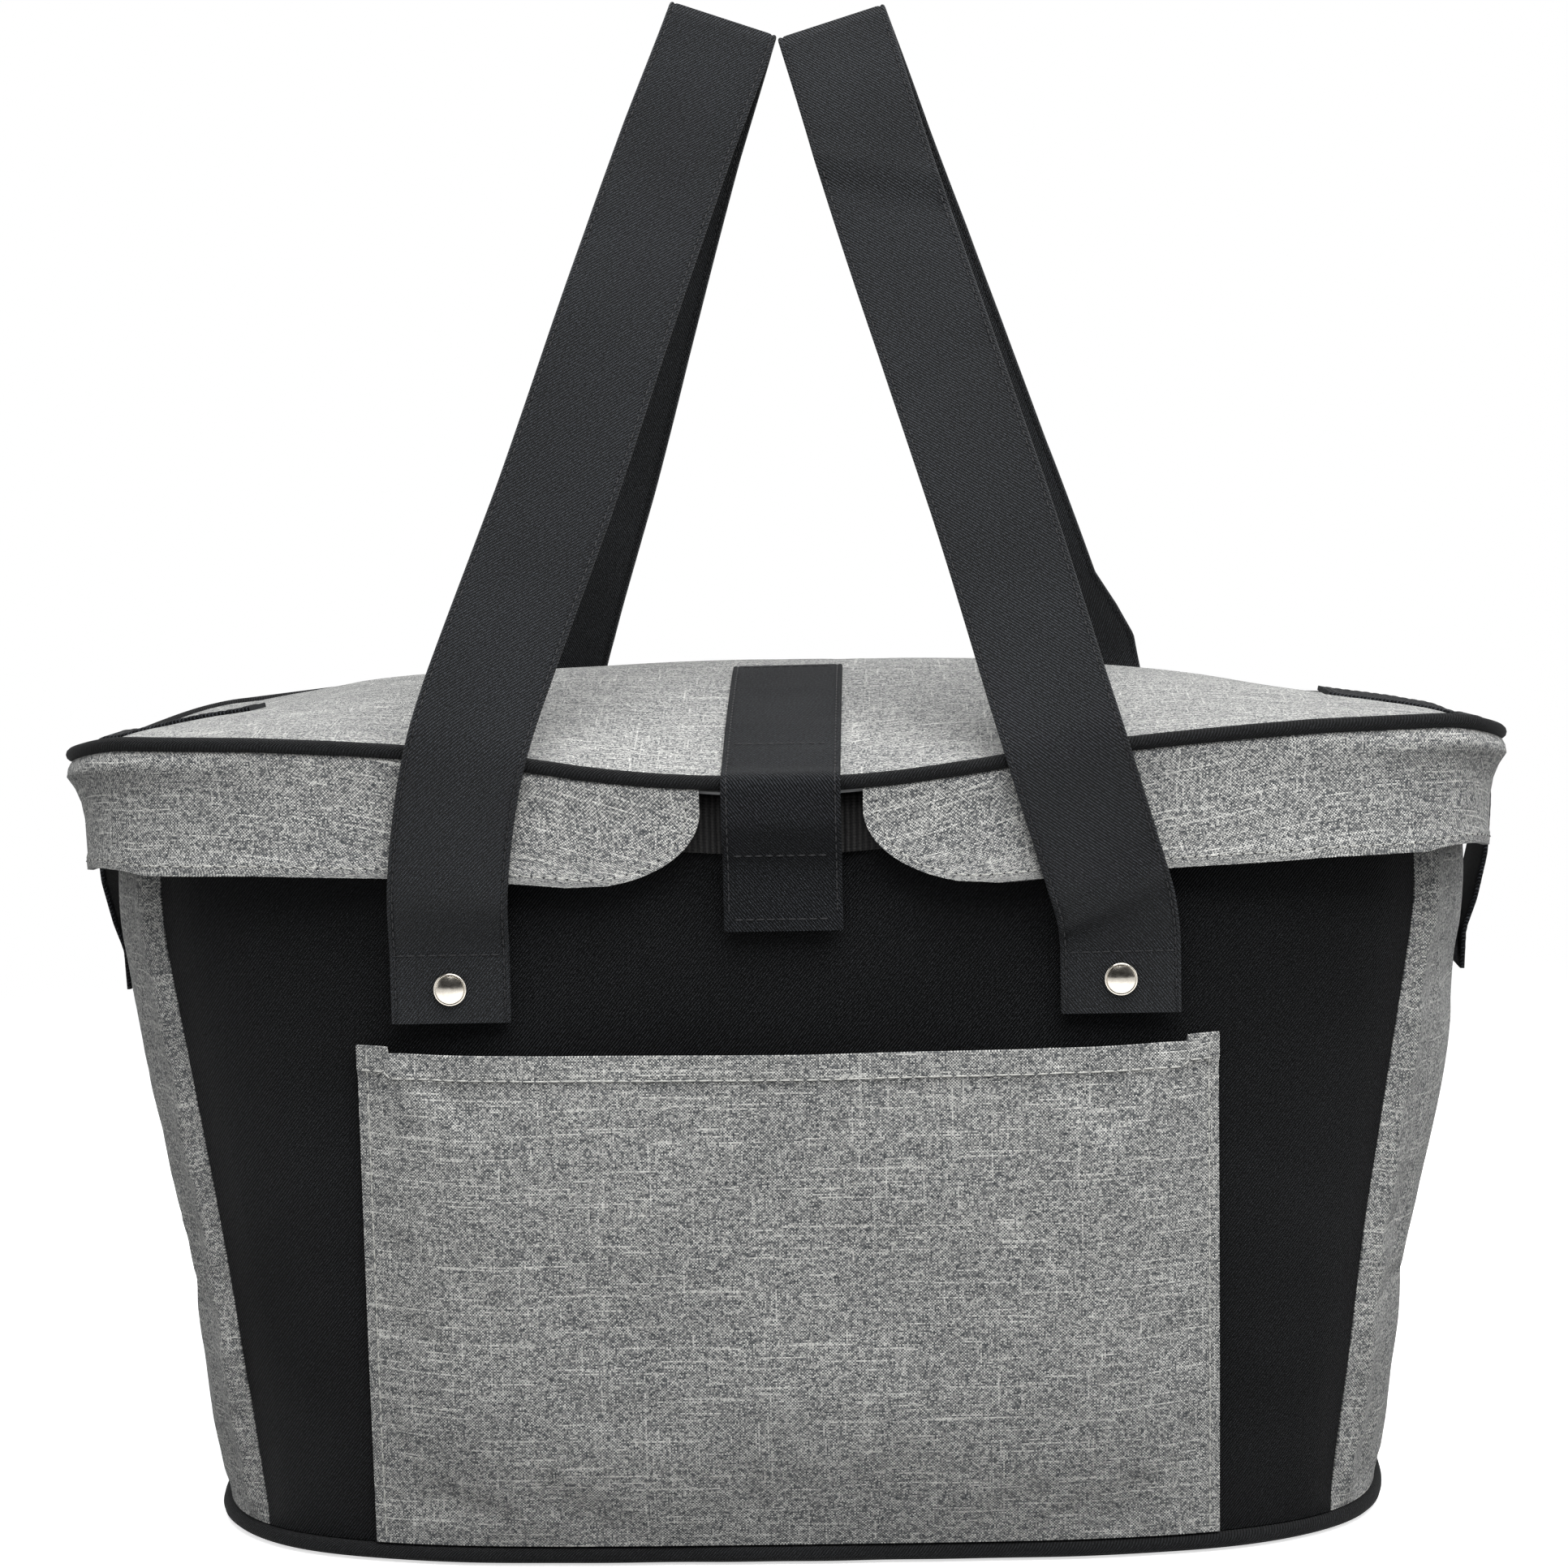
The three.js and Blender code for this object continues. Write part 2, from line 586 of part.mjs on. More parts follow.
// A ribbon's side view: a line of [outward, height] points given a thickness, round at its start
function ribbonShape(line, thickness) {
  const points = line.map(([o, z]) => new THREE.Vector2(o, z));
  const half = thickness / 2;
  const normals = points.map((p, i) => {
    const before = points[Math.max(i - 1, 0)];
    const after = points[Math.min(i + 1, points.length - 1)];
    const a = i > 0 ? p.clone().sub(before).normalize() : after.clone().sub(p).normalize();
    const b = i < points.length - 1 ? after.clone().sub(p).normalize() : a.clone();
    const mean = a.clone().add(b).normalize();
    return new THREE.Vector2(-mean.y, mean.x).multiplyScalar(half / mean.dot(a));
  });
  const one = points.map((p, i) => p.clone().add(normals[i]));
  const other = points.map((p, i) => p.clone().sub(normals[i])).reverse();
  const start = points[0];
  const back = points[1].clone().sub(start).normalize().negate();
  const cap = [0.25, 0.5, 0.75].map((t) => {
    const turn = Math.PI * t;
    return start.clone()
      .addScaledVector(normals[0], -Math.cos(turn))
      .addScaledVector(back, half * Math.sin(turn));
  });
  return new THREE.Shape([...one, ...other, ...cap]);
}

// A ribbon across the bag: its outward direction is a side of the bag, its width runs along that side
function ribbon(line, thickness, width, facing) {
  const geometry = new THREE.ExtrudeGeometry(ribbonShape(line, thickness),
    { depth: width, bevelEnabled: false, curveSegments: 1 });
  geometry.translate(0, 0, -width / 2);
  geometry.rotateX(Math.PI / 2);
  geometry.rotateZ(facing);
  return geometry;
}

const facings = { front: -Math.PI / 2, right: 0, rear: Math.PI / 2, left: Math.PI };

// Hinge tape at the rear, from the wall up to the underside of the lid's piping
const hingeHeight = edge(0, LID_HALF_DEPTH) - lidPipeDrop;
const tapeFace = MOUTH_HALF_DEPTH - bindingOuter + GAP + TAPE / 2;
const tapeTop = hingeHeight - PIPING_RADIUS - GAP - TAPE / 2;
piece(body, 'hinge_tape', ribbon([
  [LID_HALF_DEPTH, tapeTop],
  [(LID_HALF_DEPTH + tapeFace) / 2, tapeTop - TAPE],
  [tapeFace, tapeTop - 4 * TAPE],
  [tapeFace, tapeTop - TAPE_DROP],
], TAPE, TAPE_LENGTH, facings.rear), fabricBlack);

// Closure tabs: an end sewn to the lid, a hanging flap with a hook strip, and a loop strip on the body
function place(facing, o, c, z) {
  return new THREE.Vector3(
    o * Math.cos(facing) - c * Math.sin(facing),
    o * Math.sin(facing) + c * Math.cos(facing),
    z,
  );
}

function tabAnchor(facing, reachOut, length) {
  const crest = reachOut - PIPING_RADIUS - 2 * TAB;
  const stations = [];
  const flat = 5;
  for (let k = 0; k <= flat; k += 1) {
    stations.push(THREE.MathUtils.lerp(reachOut - length, crest - TAB, k / flat));
  }
  stations.push(crest + TAB, reachOut + PIPING_RADIUS);
  const rows = (lift) => stations.map((o) => [-0.5, 0, 0.5].map((t) => {
    const p = place(facing, Math.min(o, reachOut), t * TAB_WIDTH, 0);
    const q = place(facing, o, t * TAB_WIDTH, 0);
    const over = edge(p.x, p.y) - lidPipeDrop + PIPING_RADIUS + GAP;
    const z = o > crest ? Math.max(over, dome(p.x, p.y) + TAB_LAY) : dome(p.x, p.y) + TAB_LAY;
    return new THREE.Vector3(q.x, q.y, z + lift);
  }));
  return sheetSolid(rows(TAB), rows(0));
}

const tabs = [
  { name: 'front', out: LID_HALF_DEPTH, bottom: FRONT_TAB_BOTTOM, anchor: FRONT_ANCHOR_LENGTH,
    bodyOut: Math.max(SHOULDER_HALF_DEPTH, halfDepth(FRONT_TAB_BOTTOM)), loop: FRONT_LOOP_LENGTH },
  { name: 'left', out: LID_HALF_LENGTH, bottom: SIDE_TAB_BOTTOM, anchor: SIDE_ANCHOR_LENGTH,
    bodyOut: Math.max(SHOULDER_HALF_LENGTH, halfLength(SIDE_TAB_BOTTOM)), loop: SIDE_LOOP_LENGTH },
  { name: 'right', out: LID_HALF_LENGTH, bottom: SIDE_TAB_BOTTOM, anchor: SIDE_ANCHOR_LENGTH,
    bodyOut: Math.max(SHOULDER_HALF_LENGTH, halfLength(SIDE_TAB_BOTTOM)), loop: SIDE_LOOP_LENGTH },
];
for (const tab of tabs) {
  const facing = facings[tab.name];
  piece(lid, `${tab.name}_tab_anchor`, tabAnchor(facing, tab.out, tab.anchor), fabricBlack);

  // The flap turns about the middle of its round top end
  const e = place(facing, tab.out, 0, 0);
  const axisOut = tab.out + PIPING_RADIUS + 2 * GAP + TAB / 2;
  const axisHeight = edge(e.x, e.y) - lidPipeDrop + PIPING_RADIUS - TAB / 2;
  const loopOut = tab.bodyOut + GAP + HOOK;
  const clear = Math.max(loopOut, -bindingOuter + tab.bodyOut) + 2 * GAP;
  const hookOut = clear + HOOK / 2;
  const flapOut = clear + HOOK + GAP + TAB / 2;
  const lowTop = tab.bottom + HOOK_LENGTH + HOOK_MARGIN;
  piece(lid, `${tab.name}_tab`, ribbon([
    [axisOut, axisHeight],
    [axisOut, axisHeight - 4 * TAB],
    [flapOut, lowTop],
    [flapOut, tab.bottom],
  ], TAB, TAB_WIDTH, facing), fabricBlack);
  piece(lid, `${tab.name}_tab_hook`, ribbon([
    [hookOut, lowTop - HOOK],
    [hookOut, lowTop - HOOK_LENGTH],
  ], HOOK, LOOP_WIDTH, facing), hookBlack);

  // Loop strip, laid on the wall behind the flap
  const low = tab.bottom + HOOK;
  const high = low + tab.loop;
  const loopLevels = [low, (low + high) / 2, high];
  if (low < SHOULDER_HEIGHT && high > SHOULDER_HEIGHT) loopLevels[1] = SHOULDER_HEIGHT;
  const loopRows = (inset) => loopLevels.map((z) => [-0.5, -0.25, 0, 0.25, 0.5].map((t) => {
    const c = t * LOOP_WIDTH;
    const a = halfLength(z);
    const b = halfDepth(z);
    const o = tab.name === 'front' ? across(c, a, b, BODY_SQUARENESS) : across(c, b, a, BODY_SQUARENESS);
    return place(facing, o + inset, c, z);
  }));
  piece(body, `${tab.name}_loop_patch`, sheetSolid(loopRows(GAP + HOOK), loopRows(GAP)), hookBlack);
}

// Carry straps: flat on the wall at the rivets, out round the skirt, then up to a crease over the lid
const strapFace = Math.max(halfDepth(RIVET_HEIGHT + STRAP_WIDTH), halfDepth(RIVET_HEIGHT)) + 2 * GAP;
const strapFlatOut = strapFace + STRAP / 2;
const strapSkirtOut = LID_HALF_DEPTH + 2 * GAP + STRAP / 2;
const strapPipeOut = LID_HALF_DEPTH + PIPING_RADIUS + 2 * GAP + STRAP / 2;
const strapEdge = edge(RIVET_X, -LID_HALF_DEPTH) - RIVET_HEIGHT;
const strapHem = strapEdge - skirtTopDrop - SKIRT_HEIGHT - 2 * STRAP;

// Path of one leg: distance along the strap's plane from the rivet, and distance out from the middle
const strapLeg = [
  [-STRAP_TAIL, strapFlatOut],
  [0, strapFlatOut],
  [STRAP_SEAT, strapFlatOut],
  [Math.max(strapHem, STRAP_SEAT + 2 * STRAP), strapSkirtOut],
  [strapEdge - skirtTopDrop - SKIRT_HEIGHT / 2, (strapSkirtOut + strapPipeOut) / 2],
  [strapEdge - PIPING_RADIUS - STRAP, strapPipeOut],
  [strapEdge + PIPING_RADIUS + STRAP, strapPipeOut],
];
const strapLift = strapLeg[strapLeg.length - 1][0];
for (const part of [0.2, 0.45, 0.7, 0.9, 0.98]) {
  strapLeg.push([strapLift + (STRAP_RISE - strapLift) * part, strapPipeOut * (1 - part)]);
}

// Inward shift and rise at a distance along the strap, whose plane turns inward above its seat
function strapMiddle(s) {
  const point = new THREE.Vector2(0, Math.min(s, STRAP_SEAT));
  const fine = 60;
  const from = Math.min(STRAP_SEAT, s);
  for (let k = 0; k < fine && s > STRAP_SEAT; k += 1) {
    const turn = strapTurn(from + (s - from) * (k + 0.5) / fine);
    point.x += Math.sin(turn) * (s - from) / fine;
    point.y += Math.cos(turn) * (s - from) / fine;
  }
  return point;
}

function strapTurn(s) {
  return STRAP_LEAN * THREE.MathUtils.clamp((s - STRAP_SEAT) / STRAP_TURN, 0, 1);
}

function strapSolid(side) {
  const path = [
    ...strapLeg.map(([s, out]) => [s, -out]),
    [STRAP_RISE, 0],
    ...[...strapLeg].reverse(),
  ];
  const middles = path.map(([s, y]) => {
    const m = strapMiddle(s);
    return new THREE.Vector3(side * (RIVET_X - m.x), y, RIVET_HEIGHT + m.y);
  });
  const rows = (sign) => path.map(([s], i) => {
    const turn = strapTurn(s);
    const wide = new THREE.Vector3(-side * Math.cos(turn), 0, -Math.sin(turn));
    const a = middles[i].clone().sub(middles[Math.max(i - 1, 0)]);
    const b = middles[Math.min(i + 1, path.length - 1)].clone().sub(middles[i]);
    if (a.lengthSq() === 0) a.copy(b);
    if (b.lengthSq() === 0) b.copy(a);
    a.normalize();
    b.normalize();
    const normal = new THREE.Vector3().crossVectors(wide, a.clone().add(b)).normalize();
    const flat = new THREE.Vector3().crossVectors(wide, a).normalize();
    const offset = normal.multiplyScalar(sign * STRAP / 2 / Math.max(normal.dot(flat), 0.3));
    return [-0.5, 0.5].map((t) => middles[i].clone().addScaledVector(wide, t * STRAP_WIDTH).add(offset));
  });
  const holes = [-1, 1].map((sideY) => rivetDrill(side, sideY, RIVET_POST_RADIUS + GAP,
    strapFace - 10, strapFace + 10));
  return cut(sheetSolid(rows(1), rows(-1)), holes);
}
piece(straps, 'left_strap', strapSolid(-1), fabricBlack);
piece(straps, 'right_strap', strapSolid(1), fabricBlack);

// Rivets: a domed cap, a post through strap and wall, and a flat back
const capFace = strapFace + STRAP + GAP;
const rivetProfile = [
  [0, rivetBackFace - RIVET_BACK],
  [RIVET_BACK_RADIUS, rivetBackFace - RIVET_BACK],
  [RIVET_BACK_RADIUS, rivetBackFace],
  [RIVET_POST_RADIUS, rivetBackFace],
  [RIVET_POST_RADIUS, capFace],
  [RIVET_CAP_RADIUS, capFace],
  [RIVET_CAP_RADIUS * 0.96, capFace + RIVET_CAP_HEIGHT * 0.38],
  [RIVET_CAP_RADIUS * 0.66, capFace + RIVET_CAP_HEIGHT * 0.82],
  [0, capFace + RIVET_CAP_HEIGHT],
].map(([r, h]) => new THREE.Vector2(r, h));
for (const [end, sideY] of [['front', -1], ['rear', 1]]) {
  for (const [side, sideX] of [['left', -1], ['right', 1]]) {
    const rivet = piece(body, `rivet_${end}_${side}`, new THREE.LatheGeometry(rivetProfile, 12), nickel);
    rivet.rotation.z = sideY < 0 ? Math.PI : 0;
    rivet.position.set(sideX * RIVET_X, 0, RIVET_HEIGHT);
  }
}

export default bag;
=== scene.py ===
import math

import bpy
import numpy as np
from mathutils import Matrix, Vector, noise


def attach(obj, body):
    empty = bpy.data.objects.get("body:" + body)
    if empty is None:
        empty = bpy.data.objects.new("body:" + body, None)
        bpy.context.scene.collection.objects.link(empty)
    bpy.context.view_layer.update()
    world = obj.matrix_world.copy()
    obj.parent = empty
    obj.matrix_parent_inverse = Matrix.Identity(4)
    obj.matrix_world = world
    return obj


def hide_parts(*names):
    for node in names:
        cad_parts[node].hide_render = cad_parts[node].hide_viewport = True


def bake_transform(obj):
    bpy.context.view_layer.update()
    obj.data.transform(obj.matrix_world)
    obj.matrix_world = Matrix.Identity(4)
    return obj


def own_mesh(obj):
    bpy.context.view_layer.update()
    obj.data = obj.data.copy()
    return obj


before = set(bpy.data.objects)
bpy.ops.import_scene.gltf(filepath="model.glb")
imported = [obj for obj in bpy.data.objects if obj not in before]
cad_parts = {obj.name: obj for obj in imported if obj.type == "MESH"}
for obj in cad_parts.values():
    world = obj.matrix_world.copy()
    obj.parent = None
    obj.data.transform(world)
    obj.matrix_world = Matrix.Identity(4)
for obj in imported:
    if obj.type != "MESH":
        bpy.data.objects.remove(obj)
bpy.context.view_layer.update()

# Viewpoint
# A camera in front of the bag and a little to its right, just above the lid, looking slightly
# down with a long lens. It is rolled about a degree, so the bag's right side stands higher.
eye = Vector((0.03105, -1.34964, 0.390))
heading = 0.0246
dip = math.radians(6.78)
roll = 0.02
ahead = Vector((-math.sin(heading) * math.cos(dip), math.cos(heading) * math.cos(dip), -math.sin(dip)))
level_right = ahead.cross(Vector((0, 0, 1))).normalized()
level_up = level_right.cross(ahead)
frame_right = level_right * math.cos(roll) - level_up * math.sin(roll)
frame_up = level_up * math.cos(roll) + level_right * math.sin(roll)
lens = bpy.data.cameras.new("viewpoint")
lens.lens = 94.05
lens.sensor_width = 36
lens.sensor_fit = "HORIZONTAL"
viewpoint = bpy.data.objects.new("viewpoint", lens)
viewpoint.matrix_world = Matrix((
    (frame_right.x, frame_up.x, -ahead.x, eye.x),
    (frame_right.y, frame_up.y, -ahead.y, eye.y),
    (frame_right.z, frame_up.z, -ahead.z, eye.z),
    (0, 0, 0, 1),
))
bpy.context.scene.collection.objects.link(viewpoint)
bpy.context.scene.camera = viewpoint
bpy.context.scene.view_settings.view_transform = "Standard"


# Floor and studio light
# A plain pale sweep of paper under a white room, with one wide soft lamp overhead in front and a
# weaker one on each side. The paper keeps the bag's shadow.
class Strand:
    """One shader value. Arithmetic on it adds Math nodes to the tree it belongs to."""

    def __init__(self, tree, socket):
        self.tree = tree
        self.socket = socket

    def out(self, name):
        return Strand(self.tree, self.socket.node.outputs[name])

    def maths(self, operation, first, second):
        return self.tree.node("ShaderNodeMath", {"operation": operation}, {0: first, 1: second})

    def __add__(self, other):
        return self.maths("ADD", self, other)

    __radd__ = __add__

    def __sub__(self, other):
        return self.maths("SUBTRACT", self, other)

    def __rsub__(self, other):
        return self.maths("SUBTRACT", other, self)

    def __mul__(self, other):
        return self.maths("MULTIPLY", self, other)

    __rmul__ = __mul__


class Finish:
    """A node tree being built, with one method that adds any node to it."""

    def __init__(self, owner):
        owner.use_nodes = True
        self.owner = owner
        self.tree = owner.node_tree

    def node(self, kind, settings=None, sockets=None, out=0):
        made = self.tree.nodes.new(kind)
        for name, value in (settings or {}).items():
            if name == "stops":
                ramp = made.color_ramp.elements
                while len(ramp) < len(value):
                    ramp.new(0.5)
                for stop, (place, colour) in zip(ramp, value):
                    stop.position = place
                    stop.color = (*colour, 1)
            else:
                setattr(made, name, value)
        self.feed(made, sockets or {})
        return Strand(self, made.outputs[out])

    def feed(self, target, sockets):
        for name, value in sockets.items():
            if isinstance(value, Strand):
                self.tree.links.new(value.socket, target.inputs[name])
            else:
                target.inputs[name].default_value = value


def surface(name, fixed):
    """A new material and its shader, with what is the same all over set on the shader's sockets."""
    finish = Finish(bpy.data.materials.new(name))
    finish.shader = finish.tree.nodes["Principled BSDF"]
    finish.feed(finish.shader, fixed)
    return finish


def in_sight(finish):
    """One where the picture, a mirror or glass sees a surface, zero for light that bounces off it."""
    ray = finish.node("ShaderNodeLightPath", out="Is Camera Ray")
    return finish.node("ShaderNodeMath", {"operation": "MINIMUM"},
                       {0: ray + ray.out("Is Glossy Ray") + ray.out("Is Transmission Ray"), 1: 1.0})


room = Finish(bpy.data.worlds.new("white_room"))
bpy.context.scene.world = room.owner
room_light = 0.25
room.feed(room.tree.nodes["Background"],
          {"Color": (1, 1, 1, 1), "Strength": in_sight(room) * (1 - room_light) + room_light})

paper_half = 6.0
paper_fade = (0.45, 1.1)
paper_drop = 0.0006
paper_mesh = bpy.data.meshes.new("paper_floor")
paper_corners = ((-paper_half, -paper_half), (paper_half, -paper_half),
                 (paper_half, paper_half), (-paper_half, paper_half))
paper_mesh.from_pydata([(x, y, -paper_drop) for x, y in paper_corners], [], [(0, 1, 2, 3)])
paper_floor = bpy.data.objects.new("paper_floor", paper_mesh)
bpy.context.scene.collection.objects.link(paper_floor)
paper_bounce = 0.12
paper = surface("pale_paper", {"Roughness": 0.95, "Specular IOR Level": 0.1, "Emission Strength": 0.65})
paper_seen = in_sight(paper)
paper_place = paper.node("ShaderNodeTexCoord", out="Object")
fibre = paper.node("ShaderNodeTexNoise", None, {"Vector": paper_place, "Scale": 60.0, "Detail": 4.0})
paper_way = paper.node("ShaderNodeVectorMath", {"operation": "LENGTH"}, {0: paper_place}, out="Value")
paper_white = paper.node("ShaderNodeValToRGB", {"stops": [
    (0.3, (0.89, 0.89, 0.89)), (0.7, (0.92, 0.92, 0.92))]}, {"Fac": fibre})
paper.feed(paper.shader, {
    "Base Color": paper.node("ShaderNodeMix", {"data_type": "RGBA"}, {
        0: paper_seen, 6: (paper_bounce, paper_bounce, paper_bounce, 1), 7: paper_white}, out=2),
    "Emission Color": paper_seen,
    "Alpha": paper.node("ShaderNodeMapRange", {"interpolation_type": "SMOOTHSTEP"},
                        {"Value": paper_way, "From Min": paper_fade[0], "From Max": paper_fade[1],
                         "To Min": 1.0, "To Max": 0.0})})
paper_mesh.materials.append(paper.owner)


def lamp(name, place, aim, width, height, power):
    light = bpy.data.lights.new(name, "AREA")
    light.shape = "RECTANGLE"
    light.size = width
    light.size_y = height
    light.energy = power
    holder = bpy.data.objects.new(name, light)
    holder.location = place
    holder.visible_camera = False
    holder.rotation_euler = (Vector(aim) - Vector(place)).to_track_quat("-Z", "Y").to_euler()
    bpy.context.scene.collection.objects.link(holder)


lamp("overhead_lamp", (0.2, -0.72, 1.2), (0, 0, 0.2), 1.3, 0.9, 25)
lamp("rear_lamp", (-0.3, 0.9, 1.4), (0, 0, 0.25), 1.2, 0.8, 8)
lamp("left_lamp", (-2.0, -1.3, 0.9), (0, 0, 0.25), 1.2, 1.6, 10)
lamp("right_lamp", (2.0, -1.2, 1.0), (0, 0, 0.25), 1.2, 1.6, 13)

# A dark card behind the viewpoint, out of the picture, which gives the rivets something to mirror
flag_mesh = bpy.data.meshes.new("dark_card")
flag_half = 2.6
flag_foot = (-2.2, 0.02)
flag_head = (-1.0, 2.6)
flag_mesh.from_pydata([(-flag_half, *flag_foot), (flag_half, *flag_foot), (flag_half, *flag_head),
                       (-flag_half, *flag_head)], [], [(0, 1, 2, 3)])
flag = bpy.data.objects.new("dark_card", flag_mesh)
flag.visible_camera = False
flag.visible_diffuse = False
flag.visible_shadow = False
bpy.context.scene.collection.objects.link(flag)
flag_cloth = surface("dark_card", {"Base Color": (0.05, 0.05, 0.05, 1), "Roughness": 0.9})
flag_mesh.materials.append(flag_cloth.owner)


# Base: cloth, card and edge cord
# The flat black bottom the bag stands on: twill cloth over a stiff card and a foam sheet. A cord
# covered in the same cloth is sewn round its edge, where the walls are joined on.
levels = (0, 100, 200, 251)
half_lengths = (187.5, 199.5, 215, 214)
half_depths = (115, 119.5, 122.5, 122.5)
wall_squareness = 4.2
base_squareness = 3.8
rounded_below = 60
edge_height = 251
piping_radius = 2.6
base_inset = 2.9
base_dent = 0.25
cloth_thick = 1.2
bend_ease = (-10, -5, 0, 5, 10)
mm = 0.001


def wall_half(z, sizes):
    """The bag's half length or half depth at a height, with the bends between its levels eased."""
    return sum(np.interp(np.asarray(z, float) + ease, levels, sizes) for ease in bend_ease) / len(bend_ease)


def reach(angle, a, b, power):
    """Distance from the middle to the edge of a rounded rectangle at a polar angle."""
    return ((np.abs(np.cos(angle)) / a) ** power + (np.abs(np.sin(angle)) / b) ** power) ** (-1 / power)


def across(value, a, b, power):
    """The other coordinate of a rounded rectangle's edge."""
    return b * (1 - np.minimum(np.abs(value) / a, 0.9999) ** power) ** (1 / power)


def even_angles(first, last, count, a, b, power):
    """Polar angles spaced evenly along the edge of a rounded rectangle."""
    fine = np.linspace(first, last, 1500)
    r = reach(fine, a, b, power)
    step = np.hypot(np.diff(r * np.cos(fine)), np.diff(r * np.sin(fine)))
    walked = np.concatenate([[0], np.cumsum(step)])
    return np.interp(np.linspace(0, walked[-1], count), walked, fine)


def squareness(z):
    """How square the bag's outline is at a height: its corners are rounder near the base."""
    return np.interp(z, (0, rounded_below), (base_squareness, wall_squareness))


def wall_points(angle, z, inset):
    """Points on the bag's outline at polar angles and heights, moved in by an inset."""
    r = reach(angle, wall_half(z, half_lengths) - inset, wall_half(z, half_depths) - inset, squareness(z))
    return np.stack([r * np.cos(angle), r * np.sin(angle), z + 0 * angle], -1)


def piece(name, points, faces, corner_uv, finishes, sharp=50):
    """An object from points in millimetres, faces and one weave coordinate in metres per face corner."""
    mesh = bpy.data.meshes.new(name)
    mesh.from_pydata((np.asarray(points) * mm).tolist(), [], faces)
    if corner_uv is not None:
        layer = mesh.uv_layers.new(name="weave")
        layer.data.foreach_set("uv", np.asarray(corner_uv, np.float32).ravel() * mm)
    for finish in finishes:
        mesh.materials.append(finish.owner)
    mesh.shade_smooth()
    mesh.set_sharp_from_angle(angle=math.radians(sharp))
    made = bpy.data.objects.new(name, mesh)
    bpy.context.scene.collection.objects.link(made)
    return made


def weave_map(grid):
    """Weave coordinates of a grid of points: the way walked along its rows and columns."""
    along = np.linalg.norm(np.diff(grid, axis=1), axis=2)
    u = np.concatenate([np.zeros((len(grid), 1)), np.cumsum(along, 1)], 1)
    u -= u[:, [grid.shape[1] // 2]]
    up = np.linalg.norm(np.diff(grid, axis=0), axis=2)
    v = np.concatenate([np.zeros((1, grid.shape[1])), np.cumsum(up, 0)], 0)
    return np.stack([u, v], -1)


def corners(grid):
    """The four corners of every cell of a grid, which holds point numbers or weave coordinates."""
    return np.stack([grid[:-1, :-1], grid[:-1, 1:], grid[1:, 1:], grid[1:, :-1]], 2)


def way_along(line):
    """The way walked along a line from its first point to each of its points."""
    return np.concatenate([[0], np.cumsum(np.linalg.norm(np.diff(line, axis=0), axis=1))])


def cloth(name, outer, inner, finishes):
    """A closed sheet or pad between two grids of points, the outer face first."""
    rows, columns = outer.shape[:2]
    uv = weave_map(outer).reshape(-1, 2)
    number = np.arange(rows * columns).reshape(rows, columns)
    quads = corners(number).reshape(-1, 4)
    rim = np.concatenate([number[0, :], number[1:, -1], number[-1, -2::-1], number[-2:0:-1, 0]])
    following = np.roll(rim, -1)
    back = rows * columns
    sides = np.stack([following, rim, rim + back, following + back], -1)
    faces = np.concatenate([quads, quads[:, ::-1] + back, sides])
    corner_uv = np.concatenate([uv, uv])[faces].reshape(-1, 2)
    points = np.concatenate([outer.reshape(-1, 3), inner.reshape(-1, 3)])
    return piece(name, points, faces.tolist(), corner_uv, finishes)


def loop_tube(name, rings, finishes):
    """A closed tube round the bag. rings[k] is the line of its k-th side, all the way round."""
    sides, count = rings.shape[:2]
    number = np.arange(sides * count).reshape(sides, count)
    wide = np.pad(number, ((0, 1), (0, 1)), mode="wrap")
    step = np.linalg.norm(rings[0] - np.roll(rings[0], 1, 0), axis=1)
    u = np.concatenate([[0], np.cumsum(np.roll(step, -1))])
    girth = np.linalg.norm(rings - np.roll(rings, 1, 0), axis=2).mean(1)
    v = np.concatenate([[0], np.cumsum(np.roll(girth, -1))])
    faces = corners(wide).reshape(-1, 4)
    corner_uv = corners(np.stack(np.meshgrid(u, v), -1)).reshape(-1, 2)
    return piece(name, rings.reshape(-1, 3), faces.tolist(), corner_uv, finishes)


def filled(outline, a, b, columns, rows):
    """A grid of x and y that fills an outline, given as its reach at a polar angle, out to its edge."""
    s, t = np.meshgrid(np.linspace(-1, 1, columns), np.linspace(-1, 1, rows))
    angle = np.arctan2(t * b, s * a)
    r = np.maximum(np.abs(s), np.abs(t)) * outline(angle)
    return r * np.cos(angle), r * np.sin(angle)


def ripple(points, size, seed):
    """Smooth noise of about unit height at points in millimetres, with bumps about size across."""
    flat = np.asarray(points).reshape(-1, 3) / size
    value = [noise.noise(Vector((p[0] + seed, p[1] - seed, p[2] + 0.5 * seed))) for p in flat]
    return np.array(value).reshape(np.asarray(points).shape[:-1])


